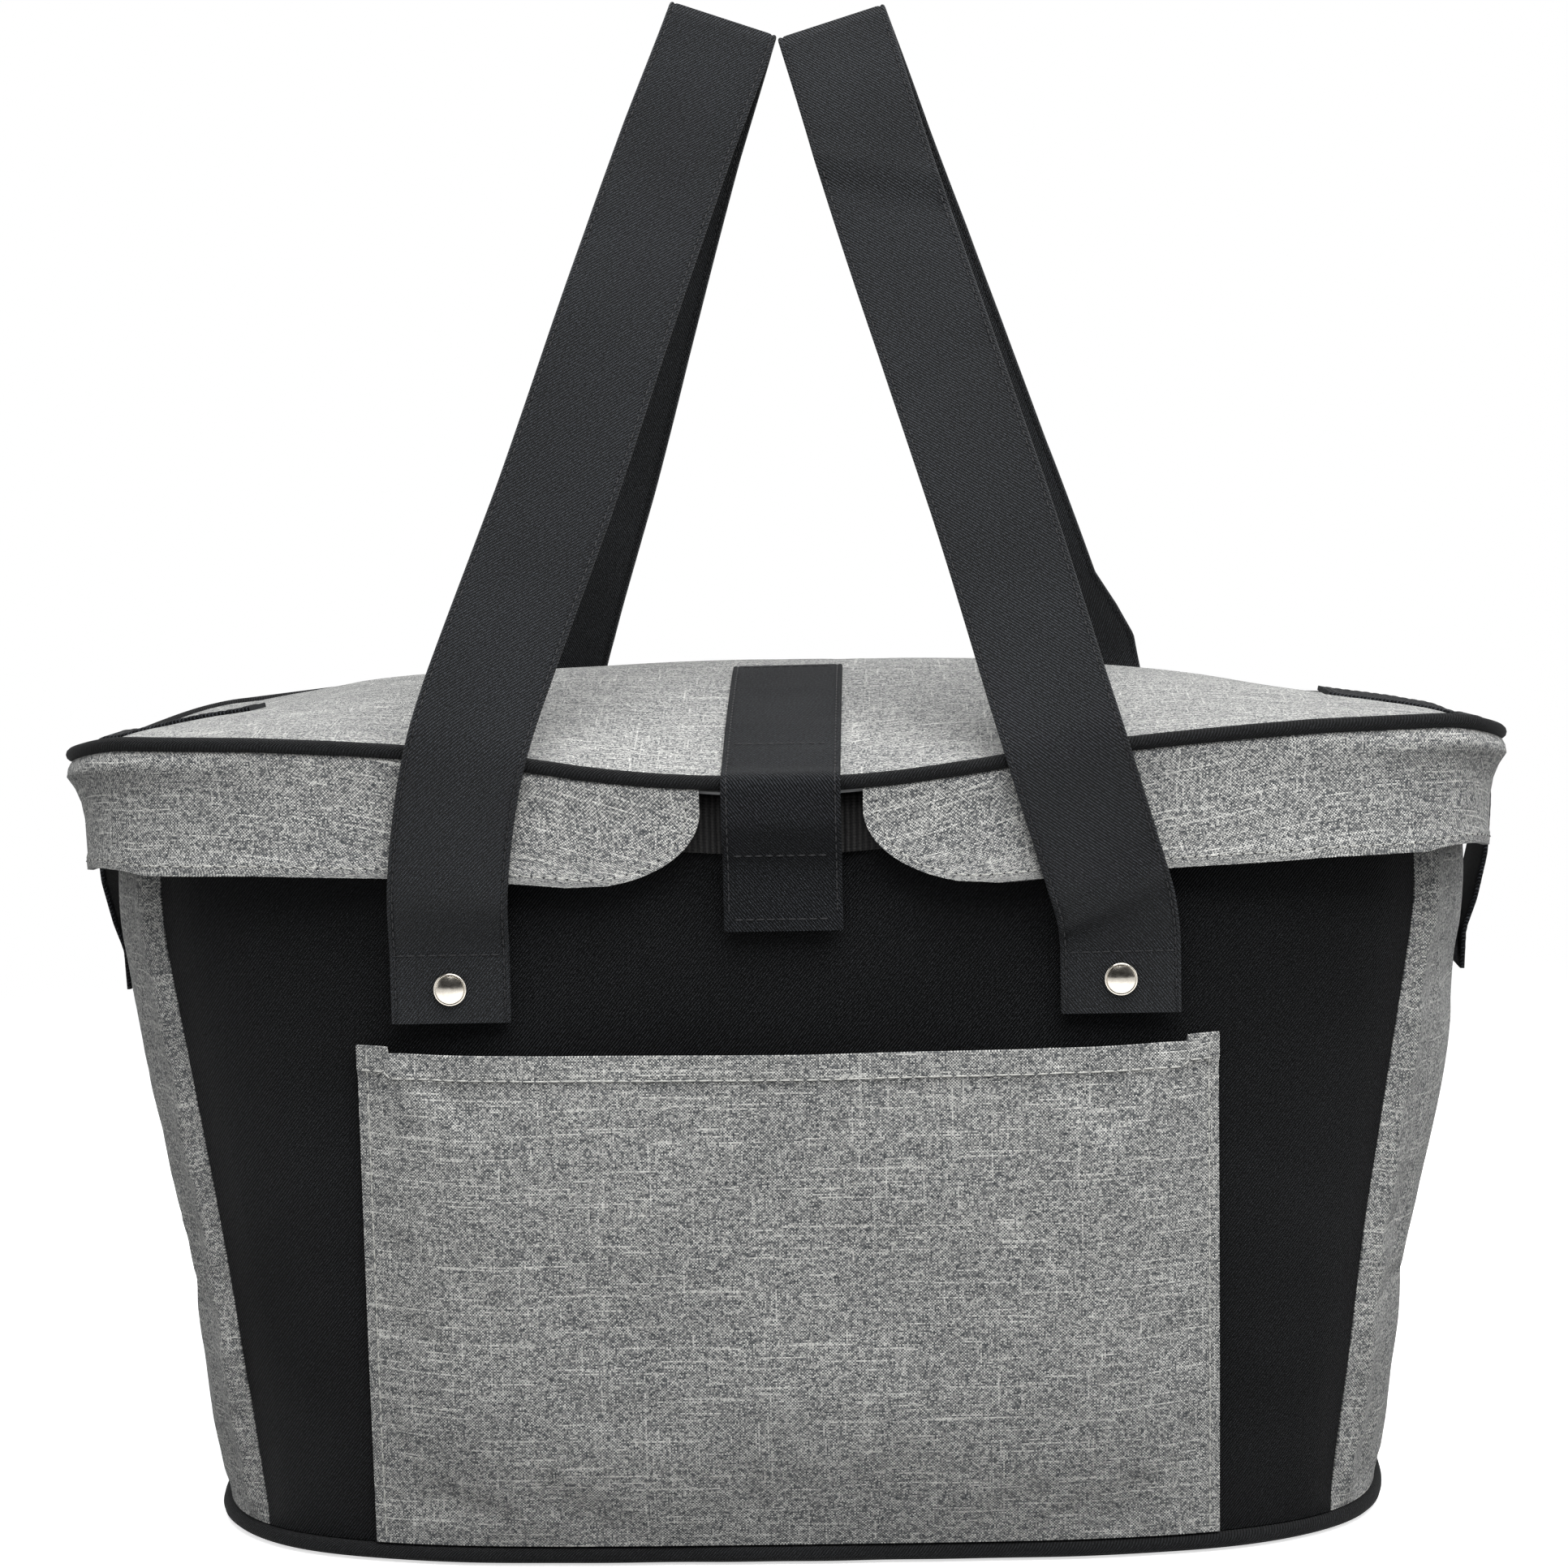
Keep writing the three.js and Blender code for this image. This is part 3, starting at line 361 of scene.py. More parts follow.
def twill(name, dark, light, gloss, rough=0.92):
    """Fine black twill: slanted ribs, a little light catching on them, and faint rubbed patches."""
    rib = 1.0
    lay = surface(name, {"Specular IOR Level": gloss, "Sheen Weight": gloss * 0.2, "Sheen Roughness": 0.5})
    weave = lay.node("ShaderNodeTexCoord", out="UV")
    x = lay.node("ShaderNodeSeparateXYZ", None, {0: weave})
    u = x * (1000 / rib)
    v = x.out("Y") * (1000 / rib)
    slant = lay.node("ShaderNodeMath", {"operation": "SINE"}, {0: (u - v * 0.8) * (2 * math.pi)})
    yarn = lay.node("ShaderNodeMath", {"operation": "SINE"}, {0: (u + v * 0.9) * (4 * math.pi)})
    fleck = lay.node("ShaderNodeTexNoise", None, {
        "Vector": lay.node("ShaderNodeCombineXYZ", None, {0: u * 1.15, 1: v * 1.15, 2: 0.0}),
        "Scale": 1.0, "Detail": 2.0, "Roughness": 0.7})
    rub = lay.node("ShaderNodeTexNoise", None, {"Vector": weave, "Scale": 14.0, "Detail": 3.0})
    height = slant * 0.6 + yarn * 0.4 + fleck * 0.8
    tone = slant * 0.34 + yarn * 0.24 + (rub - 0.5) * 0.40 + (fleck - 0.5) * 1.3 + 0.40
    between = tuple(0.74 * d + 0.26 * l for d, l in zip(dark, light))
    lay.feed(lay.shader, {
        "Base Color": lay.node("ShaderNodeValToRGB", {"stops": [
            (0.30, dark), (0.62, between), (0.90, light)]}, {"Fac": tone}),
        "Roughness": rough - rub * 0.22,
        "Normal": lay.node("ShaderNodeBump", None, {"Strength": 0.9, "Distance": 0.00045, "Height": height})})
    return lay


def card(name, dark, light, grain):
    """Plain hidden stuff such as card or foam: a pale speckle and a fine grain."""
    lay = surface(name, {"Roughness": 0.9, "Specular IOR Level": 0.2})
    place = lay.node("ShaderNodeTexCoord", out="Object")
    speck = lay.node("ShaderNodeTexNoise", None, {"Vector": place, "Scale": grain, "Detail": 3.0})
    lay.feed(lay.shader, {
        "Base Color": lay.node("ShaderNodeValToRGB", {"stops": [(0.3, dark), (0.7, light)]}, {"Fac": speck}),
        "Normal": lay.node("ShaderNodeBump", None, {"Strength": 0.3, "Distance": 0.0003, "Height": speck})})
    return lay


# The body's twill is the straps' black cloth set darker: painted shade, for panels that lie in the lid's
# shadow.
body_twill_painted_shade = twill("body_twill_painted_shade", (0.0003, 0.0004, 0.0005), (0.0430, 0.0450, 0.0495), 0.06, 0.70)
piping_cover = twill("piping_cover", (0.0018, 0.0020, 0.0023), (0.0420, 0.0440, 0.0480), 0.12)
base_card = card("base_card", (0.24, 0.24, 0.23), (0.32, 0.32, 0.30), 300.0)

base_half_length = wall_half(0, half_lengths) - base_inset
base_half_depth = wall_half(0, half_depths) - base_inset
base_x, base_y = filled(lambda angle: reach(angle, base_half_length, base_half_depth, base_squareness),
                        base_half_length, base_half_depth, 61, 41)
base_under = np.stack([base_x, base_y, 0 * base_x], -1)
base_under[..., 2] = base_dent * np.maximum(ripple(base_under, 60, 3.1), 0)
base_over = base_under + (0, 0, cloth_thick)
base_cloth = cloth("base_cloth", base_under[:, ::-1], base_over[:, ::-1], [body_twill_painted_shade])
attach(base_cloth, "body")
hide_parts("base_panel", "base_foam")

board_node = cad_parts["base_board"]
board_node.data.materials.clear()
board_node.data.materials.append(base_card.owner)

cord_lift = 2.8
cord_sides = 12
cord_turns = np.linspace(0, 2 * math.pi, cord_sides, endpoint=False)
cord_angles = even_angles(0, 2 * math.pi, 361, half_lengths[0], half_depths[0], wall_squareness)[:-1]
cord_wave = 0.25 * np.sin(cord_angles * 9) + 0.15 * np.sin(cord_angles * 23 + 1)
base_cord = loop_tube("base_cord", np.stack([
    wall_points(cord_angles, cord_lift, -piping_radius * math.cos(turn) + cord_wave)
    + (0, 0, piping_radius * math.sin(turn)) for turn in cord_turns]), [piping_cover])
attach(base_cord, "body")
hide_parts("base_piping")


# Walls: two black sides and two grey ends
# Each wall is cloth over soft foam, sewn to its neighbours at seams that pull in and pucker. The
# long sides are black twill, the ends a grey melange that wraps round the corners and sags.
wall_bottom = 5.7
wall_top_gap = 1.5
wall_deep = 6.4
binding_from = 0.93
seam_trim = 0.3
seam_inset = 20
rim_drop = 5
lid_half_length = 223.5
lid_half_depth = 130
front_lift = 7
front_end_lift = 2.8
end_lift_from = 60
end_lift_over = 100
front_dip = 12.5
dip_spread = 90
rear_sag_at = (70, 115, 147, 196, 223)
rear_sag_left = (0, -1.2, -2.4, 1.3, 2.5)
rear_sag_right = (0, 3.8, 6.2, 7.6, 8)
tip_sag = 5.6
tip_from = 197
right_bulge = (3.5, 142, 28)
left_hollow = (2.8, 92, 40)
end_fullness = 0.8
broad_fold = 1.6
fine_fold = 0.8
seam_pucker = 0.7
seam_ridge = (2.0, 7, 4)
seam_hollow = (1.9, 19, 7)
seam_tuck = 1.0
side_slack = 0.8
mouth_slack = 0.9
corner_drag = 1.1
drag_slant = np.array(((0.8, 0, 0.6), (0, 1, 0), (-0.6, 0, 0.8)))


def edge(x, y):
    """Height of the lid's edge line, carried inward over the whole lid. Its ends sag, the right rear most."""
    front = (np.maximum(1 - y / lid_half_depth, 0) / 2) ** 2
    rear = (np.maximum(1 + y / lid_half_depth, 0) / 2) ** 2
    out = np.abs(x)
    lift = front_lift + front_end_lift * np.clip((out - end_lift_from) / end_lift_over, 0, 1)
    lift = lift - front_dip * np.exp(-(x / dip_spread) ** 2)
    sag_right = np.interp(out, rear_sag_at, rear_sag_right)
    sag = np.where(x > 0, sag_right, np.interp(out, rear_sag_at, rear_sag_left))
    tip = tip_sag * np.clip((out - tip_from) / (lid_half_length - tip_from), 0, 1) ** 2
    return edge_height + front * lift - rear * sag - tip


def rim(angle):
    """Height of the bag's mouth at a polar angle."""
    mouth = wall_points(angle, np.full_like(angle, edge_height), 0)
    return edge(mouth[..., 0], mouth[..., 1]) - rim_drop


def wall_ends(section, z):
    """The polar angles of a wall's two seams at a height."""
    a = wall_half(z, half_lengths)
    b = wall_half(z, half_depths)
    x = a - seam_inset
    seam = math.atan2(across(x, a, b, squareness(z)), x)
    trim = seam_trim / math.hypot(a, b)
    first, last = {"front": (math.pi + seam, 2 * math.pi - seam), "right": (-seam, seam),
                   "rear": (seam, math.pi - seam), "left": (math.pi - seam, math.pi + seam)}[section]
    return first + trim, last - trim


def wall_grid(section, columns, rows, inset):
    """Points of one wall, from its lower edge up and from seam to seam."""
    top = rim(even_angles(*wall_ends(section, edge_height), columns, half_lengths[3], half_depths[3],
                          wall_squareness)) - wall_top_gap
    grid = []
    for part in np.linspace(0, 1, rows):
        z = wall_bottom + part * (top - wall_bottom)
        middle = float(z.mean())
        angles = even_angles(*wall_ends(section, middle), columns, wall_half(middle, half_lengths),
                             wall_half(middle, half_depths), wall_squareness)
        grid.append(wall_points(angles, z, inset))
    return np.array(grid)


def hump(way, high, at, broad):
    """A smooth hump of a height, at a place along a way and about so broad to either side of it."""
    return high * np.exp(-((way - at) / broad) ** 2)


def end_bulge(section, z):
    """How far the middle of an end stands out at a height: the right one bulges, the left is drawn in."""
    return hump(z, *right_bulge) if section == "right" else -hump(z, *left_hollow)


def outward(grid):
    """Unit normals of a grid of points."""
    n = np.cross(np.gradient(grid, axis=1), np.gradient(grid, axis=0))
    return n / np.maximum(np.linalg.norm(n, axis=2, keepdims=True), 1e-9)


def settle(name, grid, pinned, push, slack, most):
    """Lets a pinned grid of cloth find its own folds by simulation, moving no point further than most."""
    rows, columns = grid.shape[:2]
    quads = corners(np.arange(rows * columns).reshape(rows, columns)).reshape(-1, 4)
    mesh = bpy.data.meshes.new(name)
    mesh.from_pydata((grid.reshape(-1, 3) * mm).tolist(), [], quads.tolist())
    trial = bpy.data.objects.new(name, mesh)
    bpy.context.scene.collection.objects.link(trial)
    pins = trial.vertex_groups.new(name="pins")
    pins.add(np.flatnonzero(pinned.ravel()).tolist(), 1.0, "REPLACE")
    drape = trial.modifiers.new("drape", "CLOTH")
    drape.settings.vertex_group_mass = "pins"
    drape.settings.quality = 6
    drape.settings.mass = 0.15
    drape.settings.tension_stiffness = 25
    drape.settings.compression_stiffness = 25
    drape.settings.shear_stiffness = 8
    drape.settings.bending_stiffness = 0.4
    drape.settings.air_damping = 2
    drape.settings.shrink_min = -slack
    drape.settings.use_pressure = True
    drape.settings.uniform_pressure_force = push
    drape.settings.effector_weights.gravity = 0
    scene = bpy.context.scene
    for step in range(1, 21):
        scene.frame_set(step)
    shown = trial.evaluated_get(bpy.context.evaluated_depsgraph_get())
    settled = np.zeros(rows * columns * 3, np.float32)
    shown.data.vertices.foreach_get("co", settled)
    scene.frame_set(1)
    bpy.data.objects.remove(trial)
    bpy.data.meshes.remove(mesh)
    move = settled.reshape(grid.shape) / mm - grid
    far = np.linalg.norm(move, axis=2, keepdims=True)
    return grid + move * np.minimum(1, most / np.maximum(far, 1e-9))


def melange(name):
    """Grey melange: light and dark yarns in a fine plain weave, with pale slubs along both ways."""
    yarn = 0.475
    lay = surface(name, {"Roughness": 0.93, "Specular IOR Level": 0.2, "Sheen Weight": 0.15,
                         "Sheen Roughness": 0.6})
    weave = lay.node("ShaderNodeTexCoord", out="UV")
    x = lay.node("ShaderNodeSeparateXYZ", None, {0: weave})
    u = x * (1000 / yarn)
    v = x.out("Y") * (1000 / yarn)
    column = lay.node("ShaderNodeMath", {"operation": "FLOOR"}, {0: u})
    row = lay.node("ShaderNodeMath", {"operation": "FLOOR"}, {0: v})

    def yarn_tone(way, which, stretch, layer):
        place = lay.node("ShaderNodeCombineXYZ", None, {0: way * stretch, 1: which * 5.31, 2: layer})
        return lay.node("ShaderNodeTexNoise", None, {
            "Vector": place, "Scale": 1.0, "Detail": 1.0, "Roughness": 0.7})

    def slub(way, which, layer, least):
        return lay.node("ShaderNodeMapRange", {"interpolation_type": "SMOOTHSTEP"}, {
            "Value": yarn_tone(way, which, 0.016, layer), "From Min": least, "From Max": least + 0.10})

    weft = yarn_tone(u, row, 0.30, 0.5)
    warp = yarn_tone(v, column, 0.32, 4.5)
    grain = lay.node("ShaderNodeTexWhiteNoise", None, {
        "Vector": lay.node("ShaderNodeCombineXYZ", None, {0: column, 1: row, 2: 0.0})}, out="Value")
    over = lay.node("ShaderNodeTexChecker", None, {
        "Vector": lay.node("ShaderNodeCombineXYZ", None, {0: u, 1: v, 2: 0.5}), "Scale": 1.0}, out="Fac")
    cloud = lay.node("ShaderNodeTexNoise", None, {"Vector": weave, "Scale": 22.0, "Detail": 3.0})
    pale = (weft - 0.5) * 1.00 + 0.585
    deep = (warp * 0.7 + weft * 0.3 - 0.5) * 1.00 + 0.245
    tone = pale * over + deep * (1 - over) + (cloud - 0.5) * 0.13 + (grain - 0.5) * 0.50
    tone = tone + slub(u, row, 9.5, 0.60) * 0.28 + slub(v, column, 13.5, 0.64) * 0.20
    tint = lay.node("ShaderNodeValToRGB", {"stops": [
        (0.20, (0.050, 0.055, 0.060)), (0.36, (0.150, 0.155, 0.157)), (0.50, (0.300, 0.300, 0.292)),
        (0.66, (0.500, 0.500, 0.480)), (0.88, (0.680, 0.680, 0.650))]}, {"Fac": tone})
    crown_u = lay.node("ShaderNodeMath", {"operation": "SINE"}, {0: u * math.pi})
    crown_v = lay.node("ShaderNodeMath", {"operation": "SINE"}, {0: v * math.pi})
    height = crown_u * crown_u * (1 - over) + crown_v * crown_v * over + weft * 0.6
    lay.feed(lay.shader, {
        "Base Color": tint,
        "Normal": lay.node("ShaderNodeBump", None, {
            "Strength": 0.40, "Distance": 0.00022, "Height": height})})
    return lay


grey_melange = melange("grey_melange")
wall_sizes = {"front": (121, 81), "rear": (121, 81), "left": (97, 81), "right": (97, 81)}
wall_face = {}
for section, (columns, rows) in wall_sizes.items():
    face = wall_grid(section, columns, rows, 0)
    facing = outward(face)
    part = np.linspace(0, 1, columns)[None, :] + np.zeros((rows, 1))
    up = np.linspace(0, 1, rows)[:, None] + np.zeros((1, columns))
    from_seam = np.minimum(part, 1 - part)
    tuck = np.exp(-(from_seam / 0.018) ** 2)
    inside = np.sin(np.pi * part) * np.sin(np.pi * np.clip(up, 0, 1)) ** 0.5
    black = section in ("front", "rear")
    if black:
        corner = np.exp(-((from_seam / 0.16) ** 2 + (up / 0.35) ** 2))
        drag = ripple((face * (1, 1, 0.7)) @ drag_slant, 26, 4.4)
        slack = side_slack * ripple(face * (1, 1, 0.6), 70, 1.7)
        slack = inside * (slack + mouth_slack * up ** 2 * ripple(face * (1, 1, 0.5), 33, 6.6))
        lift = slack + corner_drag * corner * drag - seam_tuck * tuck
    else:
        folds = broad_fold * ripple(face * (1, 1, 0.45), 42, 7.3)
        folds = folds + fine_fold * ripple(face * (1, 1, 0.8), 19, 2.9)
        pucker = seam_pucker * ripple(face * (0.2, 0.2, 1), 9, 5.7) * np.exp(-from_seam / 0.09)
        seam_way = from_seam * np.linalg.norm(np.diff(face, axis=1), axis=2).sum(1)[:, None]
        ridge = hump(seam_way, *seam_ridge) - hump(seam_way, *seam_hollow)
        standing = end_fullness + folds + end_bulge(section, face[..., 2])
        lift = inside * standing + pucker + ridge - seam_tuck * tuck
    lift = lift * np.clip((binding_from - up) / 0.06, 0, 1) * np.clip(up / 0.03, 0, 1)
    plain = face
    face = face + facing * lift[..., None]
    if not black:
        held = (part < 0.012) | (part > 0.988) | (up < 0.02) | (up > binding_from)
        face = settle(section + "_trial", face, held, 0.5, 0.006, 1.8)
    foam_left = np.maximum(((face - plain) * facing).sum(-1) + wall_deep, cloth_thick)
    back = face - facing * foam_left[..., None]
    wall = cloth(section + "_wall", face, back, [body_twill_painted_shade if black else grey_melange])
    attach(wall, "body")
    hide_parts(section + ("_panel" if black else "_gusset"), section + "_foam")
    wall_face[section] = face


# Lining
# A tub of pale wipe-clean film, welded from flat cuts and dropped into the bag. It is sewn in at
# the mouth only, so its sides stay a little slack and crinkled.
film_thick = 0.8
film_inset = 6.9
film_floor = 9.1
film_slack = 0.8
floor_shares = (0.15, 0.45, 0.75, 0.93)
floor_inset = 4
floor_edge_inset = 3.2
floor_curve = 3
tub_rows = 24


def stack(name, rings, finishes):
    """A closed skin over rings of points. The first and the last ring are closed to a middle point."""
    rings = np.asarray(rings)
    count, around = rings.shape[:2]
    number = np.arange(count * around).reshape(count, around)
    wide = np.pad(number, ((0, 0), (0, 1)), mode="wrap")
    quads = corners(wide).reshape(-1, 4).tolist()
    first, last = count * around, count * around + 1
    quads += [(first, wide[0, k + 1], wide[0, k]) for k in range(around)]
    quads += [(last, wide[-1, k], wide[-1, k + 1]) for k in range(around)]
    points = np.concatenate([rings.reshape(-1, 3), rings[0].mean(0)[None], rings[-1].mean(0)[None]])
    return piece(name, points, [tuple(int(i) for i in f) for f in quads], None, finishes)


def film(name):
    """Pale wipe-clean film: nearly white, half glossy, with soft creases and scuffs."""
    lay = surface(name, {"Specular IOR Level": 0.45})
    place = lay.node("ShaderNodeTexCoord", out="Object")
    crease = lay.node("ShaderNodeTexNoise", {"noise_type": "RIDGED_MULTIFRACTAL"},
                      {"Vector": place, "Scale": 18.0, "Detail": 3.0})
    scuff = lay.node("ShaderNodeTexNoise", None, {"Vector": place, "Scale": 70.0, "Detail": 4.0})
    lay.feed(lay.shader, {
        "Base Color": lay.node("ShaderNodeValToRGB", {"stops": [
            (0.3, (0.60, 0.61, 0.62)), (0.7, (0.69, 0.70, 0.71))]}, {"Fac": scuff}),
        "Roughness": 0.34 + scuff * 0.22,
        "Normal": lay.node("ShaderNodeBump", None, {"Strength": 0.25, "Distance": 0.0012, "Height": crease})})
    return lay


pale_film = film("pale_film")
tub_angles = even_angles(0, 2 * math.pi, 241, half_lengths[1], half_depths[1], wall_squareness)[:-1]
tub_rings = []
for side, film_in in ((1, 0), (-1, film_thick)):
    inset = film_inset + film_in
    floor = film_floor + film_in
    floor_height = np.full_like(tub_angles, floor)
    face_rings = []
    for share in floor_shares:
        face_rings.append(wall_points(tub_angles, floor_height, inset + floor_inset) * (share, share, 1))
    face_rings.append(wall_points(tub_angles, floor_height, inset + floor_edge_inset))
    for rise in np.linspace(0, 1, tub_rows):
        height = floor + floor_curve + rise * (rim(tub_angles) - wall_top_gap - floor - floor_curve)
        slack = np.sin(math.pi * min(rise, 0.97)) * film_slack
        ring = wall_points(tub_angles, height, inset)
        loose = np.maximum(ripple(ring * (1, 1, 0.5), 30, 6.1), -0.2) + 0.2
        face_rings.append(wall_points(tub_angles, height, inset + slack * loose))
    tub_rings += face_rings[::side]
lining = stack("lining_tub", tub_rings, [pale_film])
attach(lining, "body")
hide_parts("liner_tub")


# Mouth binding
# A black ribbed tape folded over the top of the walls and sewn through, so that no raw edge of
# cloth, foam or film shows at the mouth.
binding_profile = [
    (-1.5, 18), (-1.6, 12), (-1.5, 5), (-1.3, 1.2), (-0.2, 0.2), (3.8, 0), (7.8, 0.2), (8.9, 1.2),
    (9.1, 5), (9.1, 14), (7.9, 14), (7.9, 1.6), (3.8, 1.3), (-0.3, 1.6), (-0.4, 12), (-0.3, 18)]


def ribbed(name):
    """Black ribbed tape: upright cords with an open ground between them."""
    cord_pitch = 1.7
    lay = surface(name, {"Roughness": 0.8, "Specular IOR Level": 0.3})
    x = lay.node("ShaderNodeSeparateXYZ", None, {0: lay.node("ShaderNodeTexCoord", out="UV")})
    ridge = lay.node("ShaderNodeMath", {"operation": "SINE"}, {0: x * (2000 * math.pi / cord_pitch)})
    pick = lay.node("ShaderNodeMath", {"operation": "SINE"}, {0: x.out("Y") * (2000 * math.pi / 0.9)})
    height = ridge * 0.5 + 0.5 + pick * 0.15
    lay.feed(lay.shader, {
        "Base Color": lay.node("ShaderNodeValToRGB", {"stops": [
            (0.2, (0.0030, 0.0030, 0.0034)), (0.9, (0.030, 0.029, 0.029))]}, {"Fac": height}),
        "Normal": lay.node("ShaderNodeBump", None, {"Strength": 0.8, "Distance": 0.0006, "Height": height})})
    return lay


rib_tape = ribbed("rib_tape")
mouth_angles = even_angles(0, 2 * math.pi, 321, half_lengths[3], half_depths[3], wall_squareness)[:-1]
binding_rings = np.stack([
    wall_points(mouth_angles, rim(mouth_angles) - drop, inset) for inset, drop in binding_profile[::-1]])
mouth_binding = loop_tube("mouth_binding", binding_rings, [rib_tape])
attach(mouth_binding, "body")
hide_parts("rim_binding")


# Patch pocket
# A flat patch of the grey melange on the front, sewn down both sides and into the base seam, with
# a folded hem along its open top and one row of pale stitches. The straps would press it flat when
# they are laid outward as the lid opens; here the pocket and its stitches only get meshes of their own.
pocket_half = 131.5
pocket_bottom = 6.0
pocket_top = 165.5
pocket_stand = 7.0
pocket_seat = 0.5
pocket_columns = 133
pocket_rows = 86
hem_deep = 8.5
hem_corner = 10
hem_raised = 0.55
hem_step = 2.0
hem_bow = 1.2
pocket_ripple = 0.7
side_seam_in = 3.2
hem_seam_down = 7.6


def front_face(x, z):
    """How far the front wall stands before the bag's middle at a place."""
    return across(x, wall_half(z, half_lengths), wall_half(z, half_depths), squareness(z))


def swell(share):
    """Rises from nought to one over a share of the way, steeply at first."""
    return np.sin(np.clip(share, 0, 1) * math.pi / 2)


pocket_xs = np.linspace(-pocket_half, pocket_half, pocket_columns - 4)
corner_x = pocket_half - hem_corner
pocket_xs = np.sort(np.concatenate([pocket_xs, [-corner_x, -corner_x + 0.25, corner_x - 0.25, corner_x]]))
pocket_x, share_z = np.meshgrid(pocket_xs, np.linspace(0, 1, pocket_rows))
share_x = (pocket_x / pocket_half + 1) / 2
top_line = pocket_top - hem_step * np.clip((corner_x - np.abs(pocket_x)) / 0.2, 0, 1)
top_line = top_line - hem_bow * np.sin(math.pi * share_x)
pocket_z = pocket_bottom + share_z * (top_line - pocket_bottom)
full = swell(np.minimum(share_x, 1 - share_x) / 0.16) * swell(share_z / 0.3)
pocket_y = -(front_face(pocket_x, pocket_z) + pocket_seat + pocket_stand * full + cloth_thick)
pocket_face = np.stack([pocket_x, pocket_y, pocket_z], -1)
pocket_face[..., 1] += pocket_ripple * full * ripple(pocket_face, 48, 8.2)
sewn = (share_x < 0.02) | (share_x > 0.98) | (share_z < 0.02)
pocket_face = settle("pocket_trial", pocket_face, sewn, 0.15, 0.002, 1.2)
hem = np.clip((pocket_z - top_line + hem_deep) / 0.9 + 0.5, 0, 1)
rolled = np.clip(np.minimum(share_x, 1 - share_x) * 2 * pocket_half / 1.5, 0, 1)
pocket_back = pocket_face + np.array((0, cloth_thick, 0)) * (0.6 + 0.4 * rolled[..., None])
pocket_front = pocket_face + outward(pocket_face) * (hem_raised * hem[..., None])
pocket = cloth("pocket", pocket_front, pocket_back, [grey_melange])
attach(pocket, "body")
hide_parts("front_pocket")


def thread(name, dark, light):
    """Sewing thread: a tight twist with a slight gloss."""
    lay = surface(name, {"Roughness": 0.6, "Specular IOR Level": 0.35})
    place = lay.node("ShaderNodeTexCoord", out="Object")
    twist = lay.node("ShaderNodeTexNoise", None, {"Vector": place, "Scale": 1800.0, "Detail": 1.0})
    lay.feed(lay.shader, {"Base Color": lay.node(
        "ShaderNodeValToRGB", {"stops": [(0.3, dark), (0.7, light)]}, {"Fac": twist})})
    return lay


pale_thread = thread("pale_thread", (0.36, 0.36, 0.34), (0.56, 0.56, 0.53))
# The black thread is set darker than the cloth it sews: partly its own black, partly painted shade of the
# dents its stitches make.
black_thread_and_dent_shade = thread("black_thread_and_dent_shade", (0.002, 0.002, 0.003), (0.012, 0.0125, 0.014))
# Near-black spots at the stitch ends: painted shade of the needle holes, which are only shaded dips in the
# cloth.
needle_hole_painted_shade = thread("needle_hole_painted_shade", (0.006, 0.006, 0.006), (0.02, 0.02, 0.02))


def stitches(name, runs, finishes, pitch, long, radius, hole_shade_spots):
    """Rows of sewn stitches. A run is a line of points on the cloth and the cloth's normals there."""
    grain = [(-1.0, 0.0), (-0.7, 0.75), (0.0, 1.0), (0.7, 0.75), (1.0, 0.0)]
    points, faces, slots = [], [], []
    for line, normal in runs:
        walked = way_along(line)
        for middle in np.arange(pitch * 0.5, walked[-1] - pitch * 0.4, pitch):
            ends = [np.array([np.interp(middle + d, walked, line[:, k]) for k in range(3)])
                    for d in (-long / 2, long / 2)]
            up = np.array([np.interp(middle, walked, normal[:, k]) for k in range(3)])
            up /= np.linalg.norm(up)
            run = ends[1] - ends[0]
            side = np.cross(run, up)
            side /= max(np.linalg.norm(side), 1e-9)
            centre = (ends[0] + ends[1]) / 2 + up * radius * 0.35
            start = len(points)
            points.append(centre - run / 2)
            for place, wide in grain[1:-1]:
                for turn in np.arange(6) * math.pi / 3:
                    points.append(centre + run * place / 2
                                  + radius * wide * (side * math.cos(turn) + up * 0.8 * math.sin(turn)))
            points.append(centre + run / 2)
            for k in range(6):
                after = (k + 1) % 6
                faces.append((start, start + 1 + after, start + 1 + k))
                for ring in (1, 7):
                    faces.append((start + ring + k, start + ring + after, start + ring + 6 + after,
                                  start + ring + 6 + k))
                faces.append((start + 19, start + 13 + k, start + 13 + after))
            slots += [0] * 24
            # A dark spot after each stitch: painted shade of its needle hole.
            if hole_shade_spots:
                start = len(points)
                spot = ends[1] + run * (pitch / long - 1) / 2
                along = run / np.linalg.norm(run)
                points += [spot + 0.42 * along, spot + 0.34 * side, spot - 0.42 * along, spot - 0.34 * side,
                           spot + 0.12 * up, spot - 0.3 * up]
                for k in range(4):
                    after = (k + 1) % 4
                    faces += [(start + k, start + after, start + 4), (start + after, start + k, start + 5)]
                slots += [1] * 8
    made = piece(name, points, faces, None, finishes)
    made.data.polygons.foreach_set("material_index", slots)
    return made


def on_grid(grid, rows, columns):
    """Points and normals on a grid of cloth at fractional row and column places."""
    facing = outward(grid)
    r0 = np.clip(np.floor(rows).astype(int), 0, grid.shape[0] - 2)
    c0 = np.clip(np.floor(columns).astype(int), 0, grid.shape[1] - 2)
    fr = (rows - r0)[:, None]
    fc = (columns - c0)[:, None]
    found = []
    for field in (grid, facing):
        low = field[r0, c0] * (1 - fc) + field[r0, c0 + 1] * fc
        high = field[r0 + 1, c0] * (1 - fc) + field[r0 + 1, c0 + 1] * fc
        found.append(low * (1 - fr) + high * fr)
    return found


